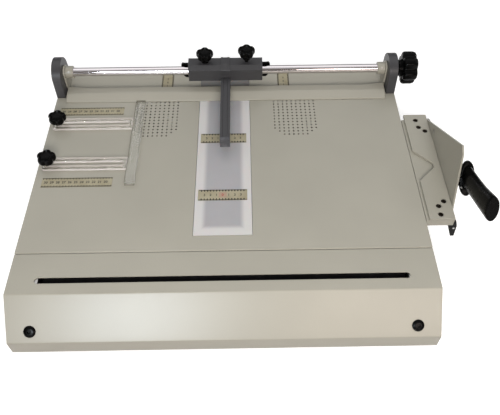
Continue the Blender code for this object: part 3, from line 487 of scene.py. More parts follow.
def carve(piece, mesh):
    """Cuts a mesh, given in the table's frame, out of a piece for good."""
    cutter = bpy.data.objects.new("cutter", mesh)
    bpy.context.scene.collection.objects.link(cutter)
    cutter.location = ORIGIN
    boolean = piece.modifiers.new("Cut", "BOOLEAN")
    boolean.operation = "DIFFERENCE"
    boolean.object = cutter
    bpy.context.view_layer.update()
    graph = bpy.context.evaluated_depsgraph_get()
    result = bpy.data.meshes.new_from_object(piece.evaluated_get(graph))
    result.shade_smooth()
    result.set_sharp_from_angle(angle=SMOOTH_ANGLE)
    piece.modifiers.clear()
    piece.data = result
    bpy.data.objects.remove(cutter)


def carve_socket(screw, at, lean, radius, low, high):
    """Cuts a hexagon socket along a screw's axis, which leans about X from upright."""
    socket = turned("socket", "Z", [(low, radius), (high, radius)], 6)
    socket.transform(Matrix.Translation(at) @ Matrix.Rotation(lean, 4, "X"))
    carve(screw, socket)


def carve_cross(screw, place, low, high, turn):
    """Cuts a cross recess from a bar between two corners in the axes of the screw's head."""
    for quarter in (0.0, math.pi / 2):
        bar = block("recess", low, high)
        bar.transform(place @ Matrix.Rotation(turn + quarter, 4, "Z"))
        carve(screw, bar)


# Camera, floor and light


def make_camera():
    """A camera over the front of the table, looking down at it."""
    data = bpy.data.cameras.new("camera")
    data.sensor_width = 36
    data.lens = 42.57
    data.clip_start, data.clip_end = 0.05, 50
    camera = bpy.data.objects.new("camera", data)
    place = Matrix.Translation(ORIGIN + Vector((0.0342, -0.4389, 0.7498)))
    pitch, yaw, roll = math.radians(51.654), math.radians(-0.656), math.radians(-0.343)
    turn = Matrix.Rotation(yaw, 4, "Z") @ Matrix.Rotation(math.pi / 2 - pitch, 4, "X")
    camera.matrix_world = place @ turn @ Matrix.Rotation(roll, 4, "Z")
    bpy.context.scene.collection.objects.link(camera)
    bpy.context.scene.camera = camera
    bpy.context.scene.view_settings.view_transform = "Standard"


def make_floor():
    """A pale floor that glows a little, and throws no light up at the paint."""
    s = Shader("floor")
    s.set(Base_Color=s.mix(s.noise(3.0, 2.0), (0.74, 0.74, 0.74, 1.0), (0.76, 0.76, 0.76, 1.0)),
          Roughness=0.9, Emission_Color=(1.0, 1.0, 1.0, 1.0), Emission_Strength=0.55)
    shape = bmesh.new()
    bmesh.ops.create_grid(shape, x_segments=1, y_segments=1, size=14.0)
    floor = bpy.data.objects.new("floor", finish_mesh("floor", shape))
    floor.data.materials.append(s.material)
    floor.visible_diffuse = False
    bpy.context.scene.collection.objects.link(floor)


def area_light(name, at, aim, size, watts, colour):
    data = bpy.data.lights.new(name, "AREA")
    data.shape = "RECTANGLE"
    data.size, data.size_y = size
    data.energy = watts
    data.color = colour
    light = bpy.data.objects.new(name, data)
    light.location = at
    light.rotation_euler = (Vector(aim) - Vector(at)).to_track_quat("-Z", "Y").to_euler()
    bpy.context.scene.collection.objects.link(light)
    return light


def make_room():
    """The world: a pale backdrop to look at, and a dim room with bands of light for smooth metal to mirror.

    A direction's place on the ramp runs from 0 at the front over 0.5 overhead to 1 at the back. Each stop
    is its place, its light, and how far its green falls below its red.
    """
    world = bpy.data.worlds.new("studio")
    bpy.context.scene.world = world
    room = Nodes(world)
    background = room.tree.nodes["Background"]
    split = room.node("SeparateXYZ", Vector=room.node("TexCoord").outputs["Generated"])
    angle = room.math("ARCTAN2", split.outputs["Z"], room.math("MULTIPLY", split.outputs["Y"], -1.0))
    ramp = room.node("ValToRGB", Fac=room.math("DIVIDE", angle, math.pi))
    stops = ((0.0, 0.06, 0.76), (0.055, 0.06, 0.80), (0.065, 0.01, 0.90), (0.105, 0.01, 0.90),
             (0.115, 0.10, 0.90), (0.33, 0.12, 0.97), (0.40, 0.62, 1.00), (0.415, 0.05, 1.00),
             (0.455, 0.05, 1.00), (0.47, 0.64, 1.00), (0.75, 0.60, 1.00), (0.83, 0.04, 1.00))
    for stop in stops[2:]:
        ramp.color_ramp.elements.new(stop[0])
    for element, (place, light, green) in zip(ramp.color_ramp.elements, stops):
        element.position = place
        element.color = (light, light * green, light * (2 * green - 1), 1.0)
    seen_directly = room.node("LightPath").outputs["Is Camera Ray"]
    room.plug(background, "Color", room.mix(seen_directly, ramp.outputs[0], (0.6, 0.6, 0.6, 1.0)))
    room.plug(background, "Strength", 1.6)


def make_lights():
    """A soft key in front and a fill behind for the paint, and two panels that only glossy faces see."""
    key = area_light("key", (0.15, -1.55, 1.10), (0.0, 0.0, 0.1), (1.0, 0.5), 29.0, (1.0, 0.94, 0.885))
    fill = area_light("fill", (-0.9, 2.5, 0.45), (0.0, 0.2, 0.08), (1.6, 0.5), 10.0, (1.0, 0.99, 0.97))
    for light in (key, fill):
        light.visible_glossy = False
    highlight = area_light("highlight", (-0.62, -2.30, 1.20), (-0.15, -0.2, 0.1), (0.6, 0.5), 33.0,
                           (0.86, 0.94, 1.0))
    sheen = area_light("sheen", (0.85, -2.30, 1.20), (0.30, -0.2, 0.1), (1.0, 0.5), 13.5, (1.0, 0.87, 0.80))
    for light in (highlight, sheen):
        light.visible_diffuse = False


# Casing


def slope_place(x, down):
    """A point on the front slope's face."""
    length = math.hypot(SLOPE_RUN, SLOPE_FALL)
    return Vector((x, -SLOPE_RUN * down / length, COVER_TOP - SLOPE_FALL * down / length))


def perforations():
    """Centres of the suction holes over the fans, in blocks whose two front rows are shorter."""
    pitch_x, pitch_y, columns, back = 0.0083, 0.008, 10, 0.409
    for left in (-0.1645, 0.0892):
        for row, missing in enumerate([0] * 10 + [1, 2]):
            for column in range(missing, columns - missing):
                yield left + column * pitch_x, back - row * pitch_y


def make_table():
    """The top plate with its window and the holes for suction and for the gauge's studs."""
    low, high = box_of("table_plate")
    edge, gap, below, above = 0.0016, 0.0006, -0.01, 0.01
    outline = [(high.y, low.z), (high.y, 0.0), *arc((low.y + edge, -edge), edge, 90, 180, 8), (low.y, low.z)]
    table = extrude("table_top", "table_plate", outline, "X", "cream_paint")
    window_low, window_high = box_of("light_diffuser")
    carve(table, block("window_hole", (window_low.x - gap, window_low.y - gap, below),
                       (window_high.x + gap, window_high.y + gap, above)))
    carve(table, pegs("hole_reliefs", perforations(), 0.0030, below, -0.0007, 16))
    carve(table, pegs("suction_holes", perforations(), 0.0016, below, above, 16))
    studs = [middle_of(f"gauge_knob_{word}")[:2] for word in ("front", "rear")]
    carve(table, pegs("stud_holes", studs, 0.0033, below, above, 32))


def make_cover():
    """The sheet that folds from the table's front over the slope to the lip, with the turn-in slot."""
    back = COVER_HIGH.y - ORIGIN.y + GAP
    corners = [(back, COVER_TOP, 0.0), (0.0, COVER_TOP, 0.004), (-SLOPE_RUN, COVER_TOP - SLOPE_FALL, 0.003),
               (-SLOPE_RUN, LIP_BOTTOM, 0.0022), (-SLOPE_RUN + 0.014, LIP_BOTTOM, 0.0)]
    cover = add("front_sheet", bent_sheet("front_sheet", corners, SHEET, -HALF_WIDTH, HALF_WIDTH),
                "cream_paint", replaces=("front_cover",))
    carve(cover, slot(-0.2803, 0.277, 0.023, 0.005, -0.01, 0.01))
    for side, _ in SIDES:
        hole = turned("plug_hole", "Z", [(-0.01, 0.0053), (0.01, 0.0053)], 32)
        place = Matrix.Translation(slope_place(side * PLUG_X, PLUG_DOWN))
        hole.transform(place @ Matrix.Rotation(SLOPE_TILT, 4, "X"))
        carve(cover, hole)
    soften(cover, 0.0003)


def make_plugs():
    """Black button-head screws in the front slope."""
    head, shank, rim = 0.009, 0.005, 0.0010
    profile = [(-0.011, shank), (0.0, shank), (0.0, head), (rim, head), *dome(rim, head, 0.0022, 0.0055)]
    for side, word in SIDES:
        place = slope_place(side * PLUG_X, PLUG_DOWN)
        screw = add(f"front_screw_{word}_head", turned("screw", "Z", profile, 64), "black_plastic",
                    at=place, turn=(SLOPE_TILT, 0, 0), replaces=(f"front_screw_{word}",))
        carve_socket(screw, place, SLOPE_TILT, 0.0032, 0.0008, 0.006)
        soften(screw, 0.0003)


def make_panels():
    """The side and rear panels with their screws, and the pan underneath."""
    for name in ("side_panel_left", "side_panel_right", "rear_panel"):
        dress(name, "cream_paint", 0.0003)
    dress("base_pan", "galvanised_steel", 0.0004)
    upper, lower = -0.012, -0.072
    for side, word in SIDES:
        for index, y in enumerate((0.10, 0.28, 0.44), 1):
            panel_screw(f"side_screw_{word}_{index}", (side * (HALF_WIDTH - GAP), y, upper), "X", side)
    rear_y = box_of("rear_panel")[1].y
    for index, (x, z) in enumerate(((x, z) for x in (-0.300, 0.0, 0.300) for z in (upper, lower)), 1):
        panel_screw(f"rear_screw_{index}", (x, rear_y, z), "Y", 1)


def panel_screw(name, at, axis, side):
    """A pan-head screw with a cross recess, standing a little out of a panel."""
    radius, height, sunk = 0.0032, 0.00022, 0.0012
    profile = [(-sunk * side, radius), (height * 0.4 * side, radius), (height * side, radius * 0.86)]
    screw = add(name, turned(name, axis, profile, 40), "steel", at=at)
    arm, half, depth = radius * 0.62, radius * 0.13, 0.0010
    place = Matrix.Translation(at) @ Matrix.Rotation(math.pi / 2, 4, {"X": "Y", "Y": "X"}[axis])
    carve_cross(screw, place, (-arm, -half, -depth), (arm, half, depth), math.radians(20))


def make_feet():
    """Rubber feet with a waist and a dished sole."""
    for name in ("foot_front_left", "foot_front_right", "foot_rear_left", "foot_rear_right"):
        low, high = box_of(name)
        tall, radius = high.z - low.z, (high.x - low.x) / 2
        profile = [(0.0006, radius * 0.62), (0.0, radius * 0.70), (0.0, radius * 0.88),
                   (tall * 0.08, radius * 0.93), (tall * 0.42, radius * 0.95), (tall * 0.5, radius * 0.91),
                   (tall * 0.58, radius * 0.95), (tall, radius)]
        centre = (low + high) / 2
        foot = add(f"{name}_rubber", turned("foot", "Z", profile, 64), "black_rubber",
                   at=(centre.x, centre.y, low.z), replaces=(name,))
        soften(foot, 0.0004)


def make_inside():
    """What shows through the slot, the vents and the openings."""
    for name, look in (("power_supply", "galvanised_steel"), ("lamp_tray", "galvanised_steel"),
                       ("lamp_board", "circuit_board"), ("light_diffuser", "opal_acrylic"),
                       ("power_inlet", "black_plastic"), ("switch_rocker", "black_plastic")):
        dress(name, look, 0.0003)
    for _, word in SIDES:
        dress(f"roller_block_{word}", "steel", 0.0003)
        dress(f"fan_frame_{word}", "black_plastic", 0.0003)
        dress(f"fan_rotor_{word}", "black_plastic", 0.0003)
    axle, journal, round_off, blunt = 0.0035, 0.012, 0.0008, 0.0005
    for name in ("turn_in_roller_front", "turn_in_roller_rear"):
        low, high = box_of(name)
        half, radius = (high.x - low.x) / 2, (high.z - low.z) / 2
        face = half - journal
        near = [(-half, axle - blunt), (-half + blunt, axle), (-face, axle), (-face, radius - round_off),
                (-face + round_off, radius)]
        profile = near + [(-along, size) for along, size in reversed(near)]
        add(f"{name}_sleeve", turned("roller", "X", profile, 64), "black_rubber", name, (low + high) / 2,
            replaces=(name,))
    make_inlet_details()


def make_inlet_details():
    """Three pins in the mains socket, and the rocker's I and O."""
    middle, back = middle_of("power_inlet"), box_of("power_inlet")[1].y - 0.0155
    for index, (x, z) in enumerate(((-0.0045, -0.0155), (0.0045, -0.0155), (0.0, -0.0100)), 1):
        pin = block("pin", (-0.0011, 0.0, -0.0020), (0.0011, 0.0120, 0.0020))
        soften(add(f"inlet_pin_{index}", pin, "steel", at=(middle.x + x, back, middle.z + z)), 0.0005)
    middle, face = middle_of("switch_rocker"), box_of("switch_rocker")[1].y - 0.0011
    half = 0.00012
    bar = block("bar", (-0.0003, -half, -0.0012), (0.0003, half, 0.0012))
    ring = turned("ring", "Y", [(-half, 0.0009), (-half, 0.0013), (half, 0.0013), (half, 0.0009)], 32, True)
    for name, mesh, x in (("switch_mark_on", bar, -0.0045), ("switch_mark_off", ring, 0.0045)):
        add(name, mesh, WHITE_INK, "switch_rocker", (middle.x + x, face, middle.z))


# Scales


def lettering(text, tall):
    """A raised number, centred on its own origin, to be read from the front."""
    curve = bpy.data.curves.new("number", "FONT")
    curve.body = text
    curve.size = tall
    curve.extrude = 0.00003
    curve.offset = 0.00012
    curve.align_x, curve.align_y = "CENTER", "CENTER"
    holder = bpy.data.objects.new("number", curve)
    bpy.context.scene.collection.objects.link(holder)
    bpy.context.view_layer.update()
    mesh = bpy.data.meshes.new_from_object(holder.evaluated_get(bpy.context.evaluated_depsgraph_get()))
    bpy.data.objects.remove(holder)
    return mesh


def make_scale(node, along, zero, long_mark, short_mark, red_zero=False):
    """A printed tape: millimetre marks on both long edges and centimetre numbers along its middle.

    along is the tape's axis, zero its origin there, and each mark a (length, width) pair.
    """
    dress(node, "scale_tape", 0.0001)
    low, high = box_of(node)
    across, top, margin = 1 - along, high.z, 0.0001
    tall = 0.0056 if along else 0.0066
    first = math.ceil((low[along] - zero) * 1000 + 0.7)
    last = math.floor((high[along] - zero) * 1000 - 0.7)
    meshes = []
    for step in range(first, last + 1):
        length, width = long_mark if step % 5 == 0 else short_mark
        for side in (low[across] + margin, high[across] - margin - length):
            corner, other = [0.0, 0.0, top], [0.0, 0.0, top + 0.00004]
            corner[along], other[along] = zero + step * 0.001 - width / 2, zero + step * 0.001 + width / 2
            corner[across], other[across] = side, side + length
            meshes.append((block("tick", corner, other), Matrix()))
    for step in range(math.ceil(first / 10), math.floor(last / 10) + 1):
        place = Vector((0.0, 0.0, top + 0.00002))
        place[along] = zero + step * 0.01
        place[across] = (low[across] + high[across]) / 2
        if min(abs(place[along] - low[along]), abs(place[along] - high[along])) <= 0.003:
            continue
        digits = lettering(str(abs(step)), tall)
        if red_zero and step == 0:
            patch = block("patch", (-0.0065, -0.0055, -0.00001), (0.0065, 0.0055, 0.00001))
            add(f"{node}_zero_patch", patch, ZERO_PATCH, at=place)
            add(f"{node}_zero", digits, RED_INK, at=place)
        else:
            meshes.append((digits, Matrix.Translation(place)))
    add(f"{node}_marks", merged("marks", meshes), INK)


def make_scales():
    """Side scales count from the table's middle, window scales from their own, rear scales from the front."""
    narrow, wide, short = (0.0032, 0.0010), (0.0038, 0.0019), (0.0022, 0.0006)
    for word in ("front", "rear"):
        make_scale(f"side_scale_{word}", 0, 0.0, narrow, short)
    for word in ("front", "rear"):
        node = f"window_scale_{word}"
        make_scale(node, 0, middle_of(node).x, wide, short, word == "front")
    for word in ("left", "right"):
        node = f"rear_scale_{word}"
        make_scale(node, 1, box_of(node)[0].y, narrow, short)


# Rail, its ends and the carriage


def make_back_stop():
    """A bent strip across the table, rising from its front edge to a long flat top."""
    front, back, top = STOP_LOW.y, STOP_HIGH.y, STOP_HIGH.z
    corners = [(back, top, 0.0), (front + 0.017, top, 0.012), (front, 0.0026, 0.0022), (front, GAP, 0.0)]
    stop = add("back_stop_strip", bent_sheet("back_stop_strip", corners, 0.0012, STOP_LOW.x, STOP_HIGH.x),
               "cream_paint", replaces=("back_stop",))
    notch = [(-0.285, back + 0.01), (-0.285, back - 0.0003), (-0.272, back - 0.0037),
             (0.272, back - 0.0037), (0.285, back - 0.0003), (0.285, back + 0.01)]
    carve(stop, prism("stop_notch", notch, "Z", -0.01, 0.02))
    soften(stop, 0.0004)


def make_rail_end(word):
    """A grey bracket, and inside it a cream plate and a collar about the rail."""
    node = f"end_bracket_{word}"
    low, high = box_of(node)
    radius, half = 0.030, (high.y - low.y) / 2
    outline = [(low.y, GAP), *arc((low.y + half, high.z - radius), radius, 180, 0, 40), (high.y, GAP)]
    soften(extrude(f"{node}_casting", node, outline, "X", "grey_paint"), 0.0011, 3)
    node = f"end_plate_{word}"
    radius = box_of(node)[1].z - RAIL_Z
    front, back, foot = RAIL_Y - radius, RAIL_Y + radius, STOP_HIGH.y + 0.001
    outline = [(front, STOP_HIGH.z + 0.003), *arc((RAIL_Y, RAIL_Z), radius, 180, 0, 32),
               (back, GAP), (foot, GAP), (foot, STOP_HIGH.z)]
    soften(extrude(f"{node}_sheet", node, outline, "X", "cream_paint"), 0.0005, 3)
    low, high = box_of(f"rail_collar_{word}")
    outer, inner, edge = (high.z - low.z) / 2, RAIL_RADIUS + GAP, 0.0007
    ends = [(low.x, inner), (low.x, outer - edge), (low.x + edge, outer), (high.x - edge, outer),
            (high.x, outer - edge), (high.x, inner)]
    add(f"rail_collar_{word}_ring", turned("collar", "X", ends, 72, True), "cream_paint", at=RAIL_AXIS,
        replaces=(f"rail_collar_{word}",))
    make_set_screw(word, (low.x + high.x) / 2, outer)


def make_set_screw(word, x, radius):
    """A small socket set screw in the collar, on its front."""
    profile = [(-0.003, 0.0019), (0.00035, 0.0019), (0.0006, 0.0016)]
    lean = math.radians(52)
    place = Vector((x, RAIL_Y - radius * math.sin(lean), RAIL_Z + radius * math.cos(lean)))
    screw = add(f"collar_screw_{word}", turned("set_screw", "Z", profile, 32), "steel", at=place,
                turn=(lean, 0, 0))
    carve_socket(screw, place, lean, 0.0009, -0.0012, 0.003)


def make_rail():
    """The bar with its thin journal on the right, and the knob on that journal's end."""
    journal = 0.005
    profile = [(-0.317, RAIL_RADIUS - 0.001), (-0.316, RAIL_RADIUS), (0.3205, RAIL_RADIUS),
               (0.3205, journal), (0.345, journal)]
    add("rail_bar", turned("rail_bar", "X", profile, 128), "chrome", "rail", RAIL_AXIS,
        replaces=("rail_shaft",))
    make_turn_knob()


def make_turn_knob():
    """A six-lobed wheel on a stepped hub, with a dished outer face."""
    low, high = box_of("rail_turn_knob")
    wheel, radius, bore, hub, count = 0.332, 0.030, 0.0053, 0.0162, 144
    steps = [(0.0, bore), (0.0, 0.0122), (0.0006, 0.0128), (0.0034, 0.0128), (0.0036, 0.0120),
             (0.0044, 0.0120), (0.0046, 0.0150), (0.0070, 0.0150), (0.0072, 0.0142), (0.0080, 0.0142),
             (0.0082, hub)]
    rings = [circle("X", high.x - 0.011, bore, count)]
    rings += [circle("X", low.x + along, size, count) for along, size in steps]
    rings.append(circle("X", wheel, hub, count))
    body = [(wheel, 0.86), (wheel + 0.0008, 0.93), (wheel + 0.0024, 0.98), (wheel + 0.0055, 1.0),
            (high.x - 0.0075, 1.0), (high.x - 0.0035, 0.975), (high.x - 0.0012, 0.93), (high.x, 0.86),
            (high.x, 0.80), (high.x - 0.0012, 0.75), (high.x - 0.0030, 0.70)]
    rings += [circle("X", along, radius * scale, count, 6, 0.20) for along, scale in body]
    rings += [circle("X", high.x - deep, size, count)
              for deep, size in ((0.0030, 0.0125), (0.0012, 0.0112), (0.0010, 0.0030))]
    add("rail_turn_wheel", loft("wheel", rings), "black_plastic", "rail", RAIL_AXIS,
        replaces=("rail_turn_knob",))


def star_knob(node, neck, y):
    """A five-lobed clamping knob with a stud below and a raised rim round its dished top."""
    low, high = box_of(node)
    head, radius, neck_radius, stud, blunt, count = 0.014, 0.016, 0.007, 0.003, 0.0004, 120
    base = high.z - head - neck
    steps = [(low.z - base, stud - blunt), (low.z - base + blunt, stud), (0.0, stud),
             (0.0, neck_radius - blunt), (blunt, neck_radius), (neck * 0.55, neck_radius + 0.0002),
             (neck * 0.8, neck_radius + 0.0006), (neck, neck_radius + 0.0016)]
    rings = [circle("Z", along, size, count) for along, size in steps]
    shape = [(0.0002, 0.74), (0.0010, 0.84), (0.0026, 0.93), (0.0050, 0.985), (0.0080, 1.0), (0.0105, 0.985),
             (0.0125, 0.93), (0.0136, 0.86), (0.0140, 0.79), (0.0137, 0.73), (0.0126, 0.68), (0.0114, 0.64)]
    back = math.pi / 2
    rings += [circle("Z", neck + along, radius * scale, count, 5, 0.18, back) for along, scale in shape]
    rings += [circle("Z", neck + 0.0108, radius * 0.5, count, 5, 0.09, back),
              circle("Z", neck + 0.0107, radius * 0.2, count)]
    place = ((low.x + high.x) / 2, y, base)
    add(f"{node}_star", loft("star", rings), "black_plastic", node, place, replaces=(node,))


def make_star_knobs():
    """Two on the carriage, with longer necks, and two on the gauge."""
    for word in ("left", "right"):
        star_knob(f"carriage_knob_{word}", 0.008, RAIL_Y)
    for word in ("front", "rear"):
        star_knob(f"gauge_knob_{word}", 0.006, middle_of(f"gauge_arm_{word}").y)


def make_carriage():
    """The slide, bored for the rail and the knobs' studs, and what it carries."""
    low, high = box_of("carriage_body")
    chamfer = 0.007
    outline = [(low.y, low.z), (high.y, low.z), (high.y, high.z - chamfer), (high.y - chamfer, high.z),
               (low.y + chamfer, high.z), (low.y, high.z - chamfer)]
    slide = extrude("carriage_slide", "carriage_body", outline, "X", "grey_paint", "carriage")
    bore = turned("rail_bore", "X", [(-0.1, RAIL_RADIUS + GAP), (0.1, RAIL_RADIUS + GAP)], 96)
    bore.transform(Matrix.Translation(RAIL_AXIS))
    carve(slide, bore)
    knobs = [(middle_of(f"carriage_knob_{word}").x, RAIL_Y) for _, word in SIDES]
    carve(slide, pegs("knob_holes", knobs, 0.0033, RAIL_Z, high.z + 0.01, 32))
    soften(slide, 0.0009, 3)
    for side, word in SIDES:
        make_tongue(side, word)
    make_strap(low, high, chamfer)
    make_arm()


def make_tongue(side, word):
    """A black shell behind the rail that stands out of the slide's end, with a lip round its edge."""
    low, high = box_of(f"carriage_end_{word}")
    near, far = sorted((abs(low.x), abs(high.x)))
    short, inner, outer, lip, sunk, steps = 0.074, 0.0122, 0.0150, 0.0008, 0.0004, 48
    low_angle, high_angle = -95, 80
    rings = []
    for i in range(steps + 1):
        angle = math.radians(low_angle + (high_angle - low_angle) * i / steps)
        reach = short + (far - short) * math.sqrt(math.sin(math.pi * i / steps))
        across = ((near, outer - sunk), (reach - 0.0028, outer - sunk), (reach - 0.0022, outer),
                  (reach - lip / 2, outer), (reach, outer - lip), (reach, inner + lip),
                  (reach - lip / 2, inner), (near, inner))
        rings.append([Vector((side * x, radius * math.cos(angle), radius * math.sin(angle)))
                      for x, radius in across])
    add(f"carriage_tongue_{word}", loft("tongue", rings), "black_plastic", "carriage", RAIL_AXIS,
        replaces=(f"carriage_end_{word}",))


def make_strap(low, high, chamfer):
    """The channel over the slide that holds the arm, given the slide's corners."""
    strap_low, strap_high = box_of("arm_strap")
    thick, groove, half, bar = 0.0018, 0.0007, 0.0044, 0.0032
    corners = [(high.y - chamfer, high.z + GAP, 0.0), (low.y + chamfer, high.z + GAP, 0.001),
               (low.y - GAP, high.z - chamfer, 0.001), (low.y - GAP, strap_low.z, 0.0)]
    sheet = bent_sheet("strap", corners, -thick, strap_low.x, strap_high.x)
    strap = add("arm_strap_channel", sheet, "grey_paint", "carriage", replaces=("arm_strap",))
    corners[0] = (corners[0][0] + 0.005, *corners[0][1:])
    corners[-1] = (corners[-1][0], strap_low.z + bar, 0.0)
    carve(strap, bent_sheet("strap_groove", corners, -0.004, -half, half, groove - thick))
    soften(strap, 0.0004)


def make_arm():
    """A grooved bar that starts under the slide, with a moulded cap on its tip."""
    low, high = box_of("centre_arm")
    slide = box_of("carriage_body")[0]
    tip, front, below = low.y + 0.0085, slide.y - GAP, slide.z - GAP
    outline = [(tip, low.z), (high.y, low.z), (high.y, below), (front, below), (front, high.z), (tip, high.z)]
    arm = extrude("centre_arm_bar", "centre_arm", outline, "X", "grey_paint", "carriage")
    half, depth = 0.0042, 0.0012
    carve(arm, block("groove", (-half, low.y - 0.01, high.z - depth), (half, slide.y + 0.01, high.z + 0.01)))
    soften(arm, 0.0007, 3)
    cap = block("cap", (low.x, low.y, low.z), (high.x, tip - SEAM, high.z))
    soften(add("centre_arm_cap", cap, CAP_GREY, "carriage"), 0.0010, 3)


# Side gauge


def make_gauge():
    """The clear bar that stops the sheet's side, and its two slotted arms."""
    outline = rounded(*box_of("side_stop_bar"), 0.0015)
    bar = extrude("side_stop_strip", "side_stop_bar", outline, "Z", "clear_acrylic", "side_gauge")
    # The stop bar's upright faces: painted shade for its thin dark outlines.
    saw_edges(bar, PAINTED_SHADE_EDGES)
    soften(bar, 0.0005, 3)
    for word in ("front", "rear"):
        node = f"gauge_arm_{word}"
        low, high = box_of(node)
        corner, inner = 0.005, low.x + 0.005
        outline = [(high.x, low.y), (high.x, high.y), *arc((inner, high.y - corner), corner, 90, 180, 12),
                   *arc((inner, low.y + corner), corner, 180, 270, 12)]
        arm = extrude(f"{node}_bar", node, outline, "Z", "clear_acrylic", "side_gauge")
        carve(arm, slot(-0.306, -0.174, (low.y + high.y) / 2, 0.0045, -0.01, 0.02))
        # The arms' upright faces: partly frosted sawn edge, partly painted glint.
        saw_edges(arm, SAWN_EDGES_AND_GLINT)
        soften(arm, 0.0006, 3)


def saw_edges(piece, look):
    """Gives a clear piece's upright faces an edge material whose colour is painted light: glint on the arms,
    shade on the stop bar.
    """
    piece.data.materials.append(look.material)
    for polygon in piece.data.polygons:
        polygon.material_index = int(abs(polygon.normal.z) < 0.5)


# Corner cutter


def make_cutter():
    for name, look, bevel in (("cutter_bed", "cream_paint", 0.0006), ("knife_plate", "cream_paint", 0.0005),
                              ("knife_pivot_bracket", "black_plastic", 0.0004),
                              ("knife_guide", "black_plastic", 0.0005)):
        dress(name, look, bevel)
    make_fence()
    make_knife_bolt()
    make_handle()
    low = box_of("knife_guide")[0]
    button_screw("guide_screw", Vector((low.x + 0.0108, low.y, low.z + 0.0215)), (math.pi / 2, 0, 0), 0.0019)


def make_fence():
    """The plate with the right-angled notch, and the six socket screws that hold it."""
    low, high = box_of("v_fence_plate")
    notch_y, notch_half, tip_x, tip_half, relief = 0.2365, 0.0345, 0.354, 0.0055, 0.014
    outline = [(low.x, low.y), (high.x, low.y), (high.x, high.y), (low.x, high.y),
               (low.x, notch_y + notch_half), (tip_x, notch_y + tip_half), (tip_x, notch_y - tip_half),
               (low.x, notch_y - notch_half)]
    fence = extrude("v_fence", "v_fence_plate", outline, "Z", "cream_paint")
    carve(fence, block("sheet_gap", (0.345, notch_y - relief, -0.01),
                       (high.x + 0.01, notch_y + relief, 0.0015)))
    places = [(0.3445, 0.3462), (0.3466, 0.3286), (0.3563, 0.3189), (0.3544, 0.1575), (0.3442, 0.1478),
              (0.3441, 0.1306)]
    carve(fence, pegs("counterbores", places, 0.0045, high.z - 0.0034, high.z + 0.01, 48))
    soften(fence, 0.0005)
    head = 0.0040
    profile = [(0.0, head), (0.0024, head), (0.0028, head - 0.0004)]
    for index, (x, y) in enumerate(places, 1):
        place = Vector((x, y, high.z - 0.0033))
        screw = add(f"fence_screw_{index}", turned("cap_screw", "Z", profile, 48), BLACK_OXIDE, at=place)
        carve_socket(screw, place, 0.0, 0.0021, 0.0010, 0.006)
        soften(screw, 0.0002)


def make_knife_bolt():
    """The bolt that the knife turns on, with its hexagon head on the outside."""
    low, high = box_of("knife_pivot_bolt")
    place = (0, (low.y + high.y) / 2, (low.z + high.z) / 2)
    shank, head = 0.004, (high.z - low.z) / 2
    bolt = turned("bolt", "X", [(low.x, shank), (high.x - 0.0028, shank)], 48)
    soften(add("pivot_bolt_shank", bolt, "steel", at=place, replaces=("knife_pivot_bolt",)), 0.0003)
    cap = turned("head", "X", [(high.x - 0.0029, head), (high.x - 0.0006, head), (high.x, head - 0.0007)], 6)
    soften(add("pivot_bolt_head", cap, "steel", at=place), 0.0004)


def button_screw(name, at, turn, radius, body="machine"):
    """A small domed screw with a cross recess, facing its own +Z."""
    profile = [(-0.001, radius), (0.0, radius), *dome(0.0, radius, radius * 0.42, radius * 0.75)]
    screw = add(name, turned("button", "Z", profile, 32), "steel", body, at, turn=turn)
    arm, half, floor = radius * 0.6, radius * 0.12, radius * 0.2
    place = Matrix.Translation(at) @ Euler(turn).to_matrix().to_4x4()
    carve_cross(screw, place, (-arm, -half, floor), (arm, half, radius), 0.5)


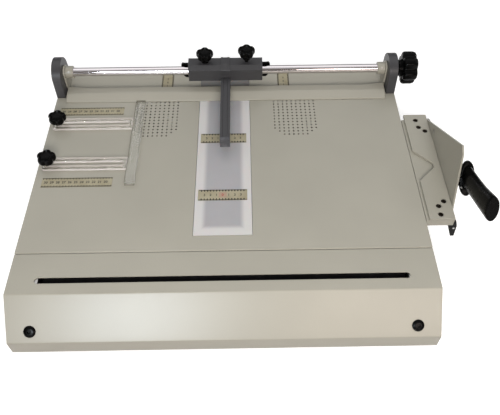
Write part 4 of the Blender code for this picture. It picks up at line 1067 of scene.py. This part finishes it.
def make_handle():
    """A grip of oval section that swells to the front, its oval guard, and the tang on the knife plate."""
    along = (HANDLE_END - HANDLE_ROOT).normalized()
    up = Vector((1, 0, 0)).cross(along).normalized()
    side = along.cross(up).normalized()

    def oval(place, half_width, half_height, upright=up, count=72):
        angles = [2 * math.pi * i / count for i in range(count)]
        return [place + side * half_width * math.cos(a) + upright * half_height * math.sin(a) for a in angles]

    sections = [(0.0, 0.0088, 0.0155), (0.15, 0.0087, 0.0155), (0.30, 0.0088, 0.0158), (0.48, 0.0092, 0.0167),
                (0.65, 0.0096, 0.0177), (0.80, 0.0099, 0.0187), (0.93, 0.0101, 0.0196),
                (0.965, 0.0100, 0.0197), (0.988, 0.0097, 0.0194), (1.0, 0.0091, 0.0187)]
    rings = []
    for share, width, tall in sections:
        sag = 0.0035 * max(0.0, 1 - share / 0.6)
        rings.append(oval(HANDLE_ROOT.lerp(HANDLE_END, share) - up * sag, width, tall + sag))
    rings.append(oval(HANDLE_END, 0.0082, 0.0178))
    rings.append(oval(HANDLE_END - along * 0.0004, 0.0079, 0.0175))
    add("knife_grip", loft("grip", rings), "black_plastic", "knife", replaces=("knife_handle",))

    lean = Matrix.Rotation(math.radians(-14), 3, "X")
    upright, forward = lean @ up, lean @ along
    half_width, half_height, half = box_of("knife_handle")[1].x - HANDLE_ROOT.x, 0.0285, 0.0045
    rim, steps = [], 12
    for i in range(steps + 1):
        turn = math.pi * i / steps
        inset = 0.0022 * (1 - math.sin(turn) ** 0.7)
        middle = HANDLE_ROOT - forward * half * math.cos(turn)
        rim.append(oval(middle, half_width - inset, half_height - inset, upright))
    add("knife_guard", loft("guard", rim), "black_plastic", "knife", replaces=("knife_handle",))

    centre = (HANDLE_ROOT - along * 0.012).yz
    outline = rounded(centre - Vector((0.014, 0.012)), centre + Vector((0.014, 0.012)), 0.004)
    near, far = box_of("knife_plate")[1].x + GAP, HANDLE_ROOT.x + 0.004
    tang = add("knife_tang", prism("tang", outline, "X", near, far), "black_plastic", "knife",
               replaces=("knife_handle",))
    soften(tang, 0.0008, 3)
    face = HANDLE_ROOT + forward * half + upright * 0.0135 - side * 0.0088
    button_screw("guard_screw", face, forward.to_track_quat("Z", "Y").to_euler(), 0.0016, "knife")


def main():
    make_table()
    make_cover()
    make_plugs()
    make_panels()
    make_feet()
    make_inside()
    make_scales()
    make_back_stop()
    for _, word in SIDES:
        make_rail_end(word)
    make_rail()
    make_carriage()
    make_star_knobs()
    make_gauge()
    make_cutter()
    make_camera()
    make_floor()
    make_room()
    make_lights()


main()
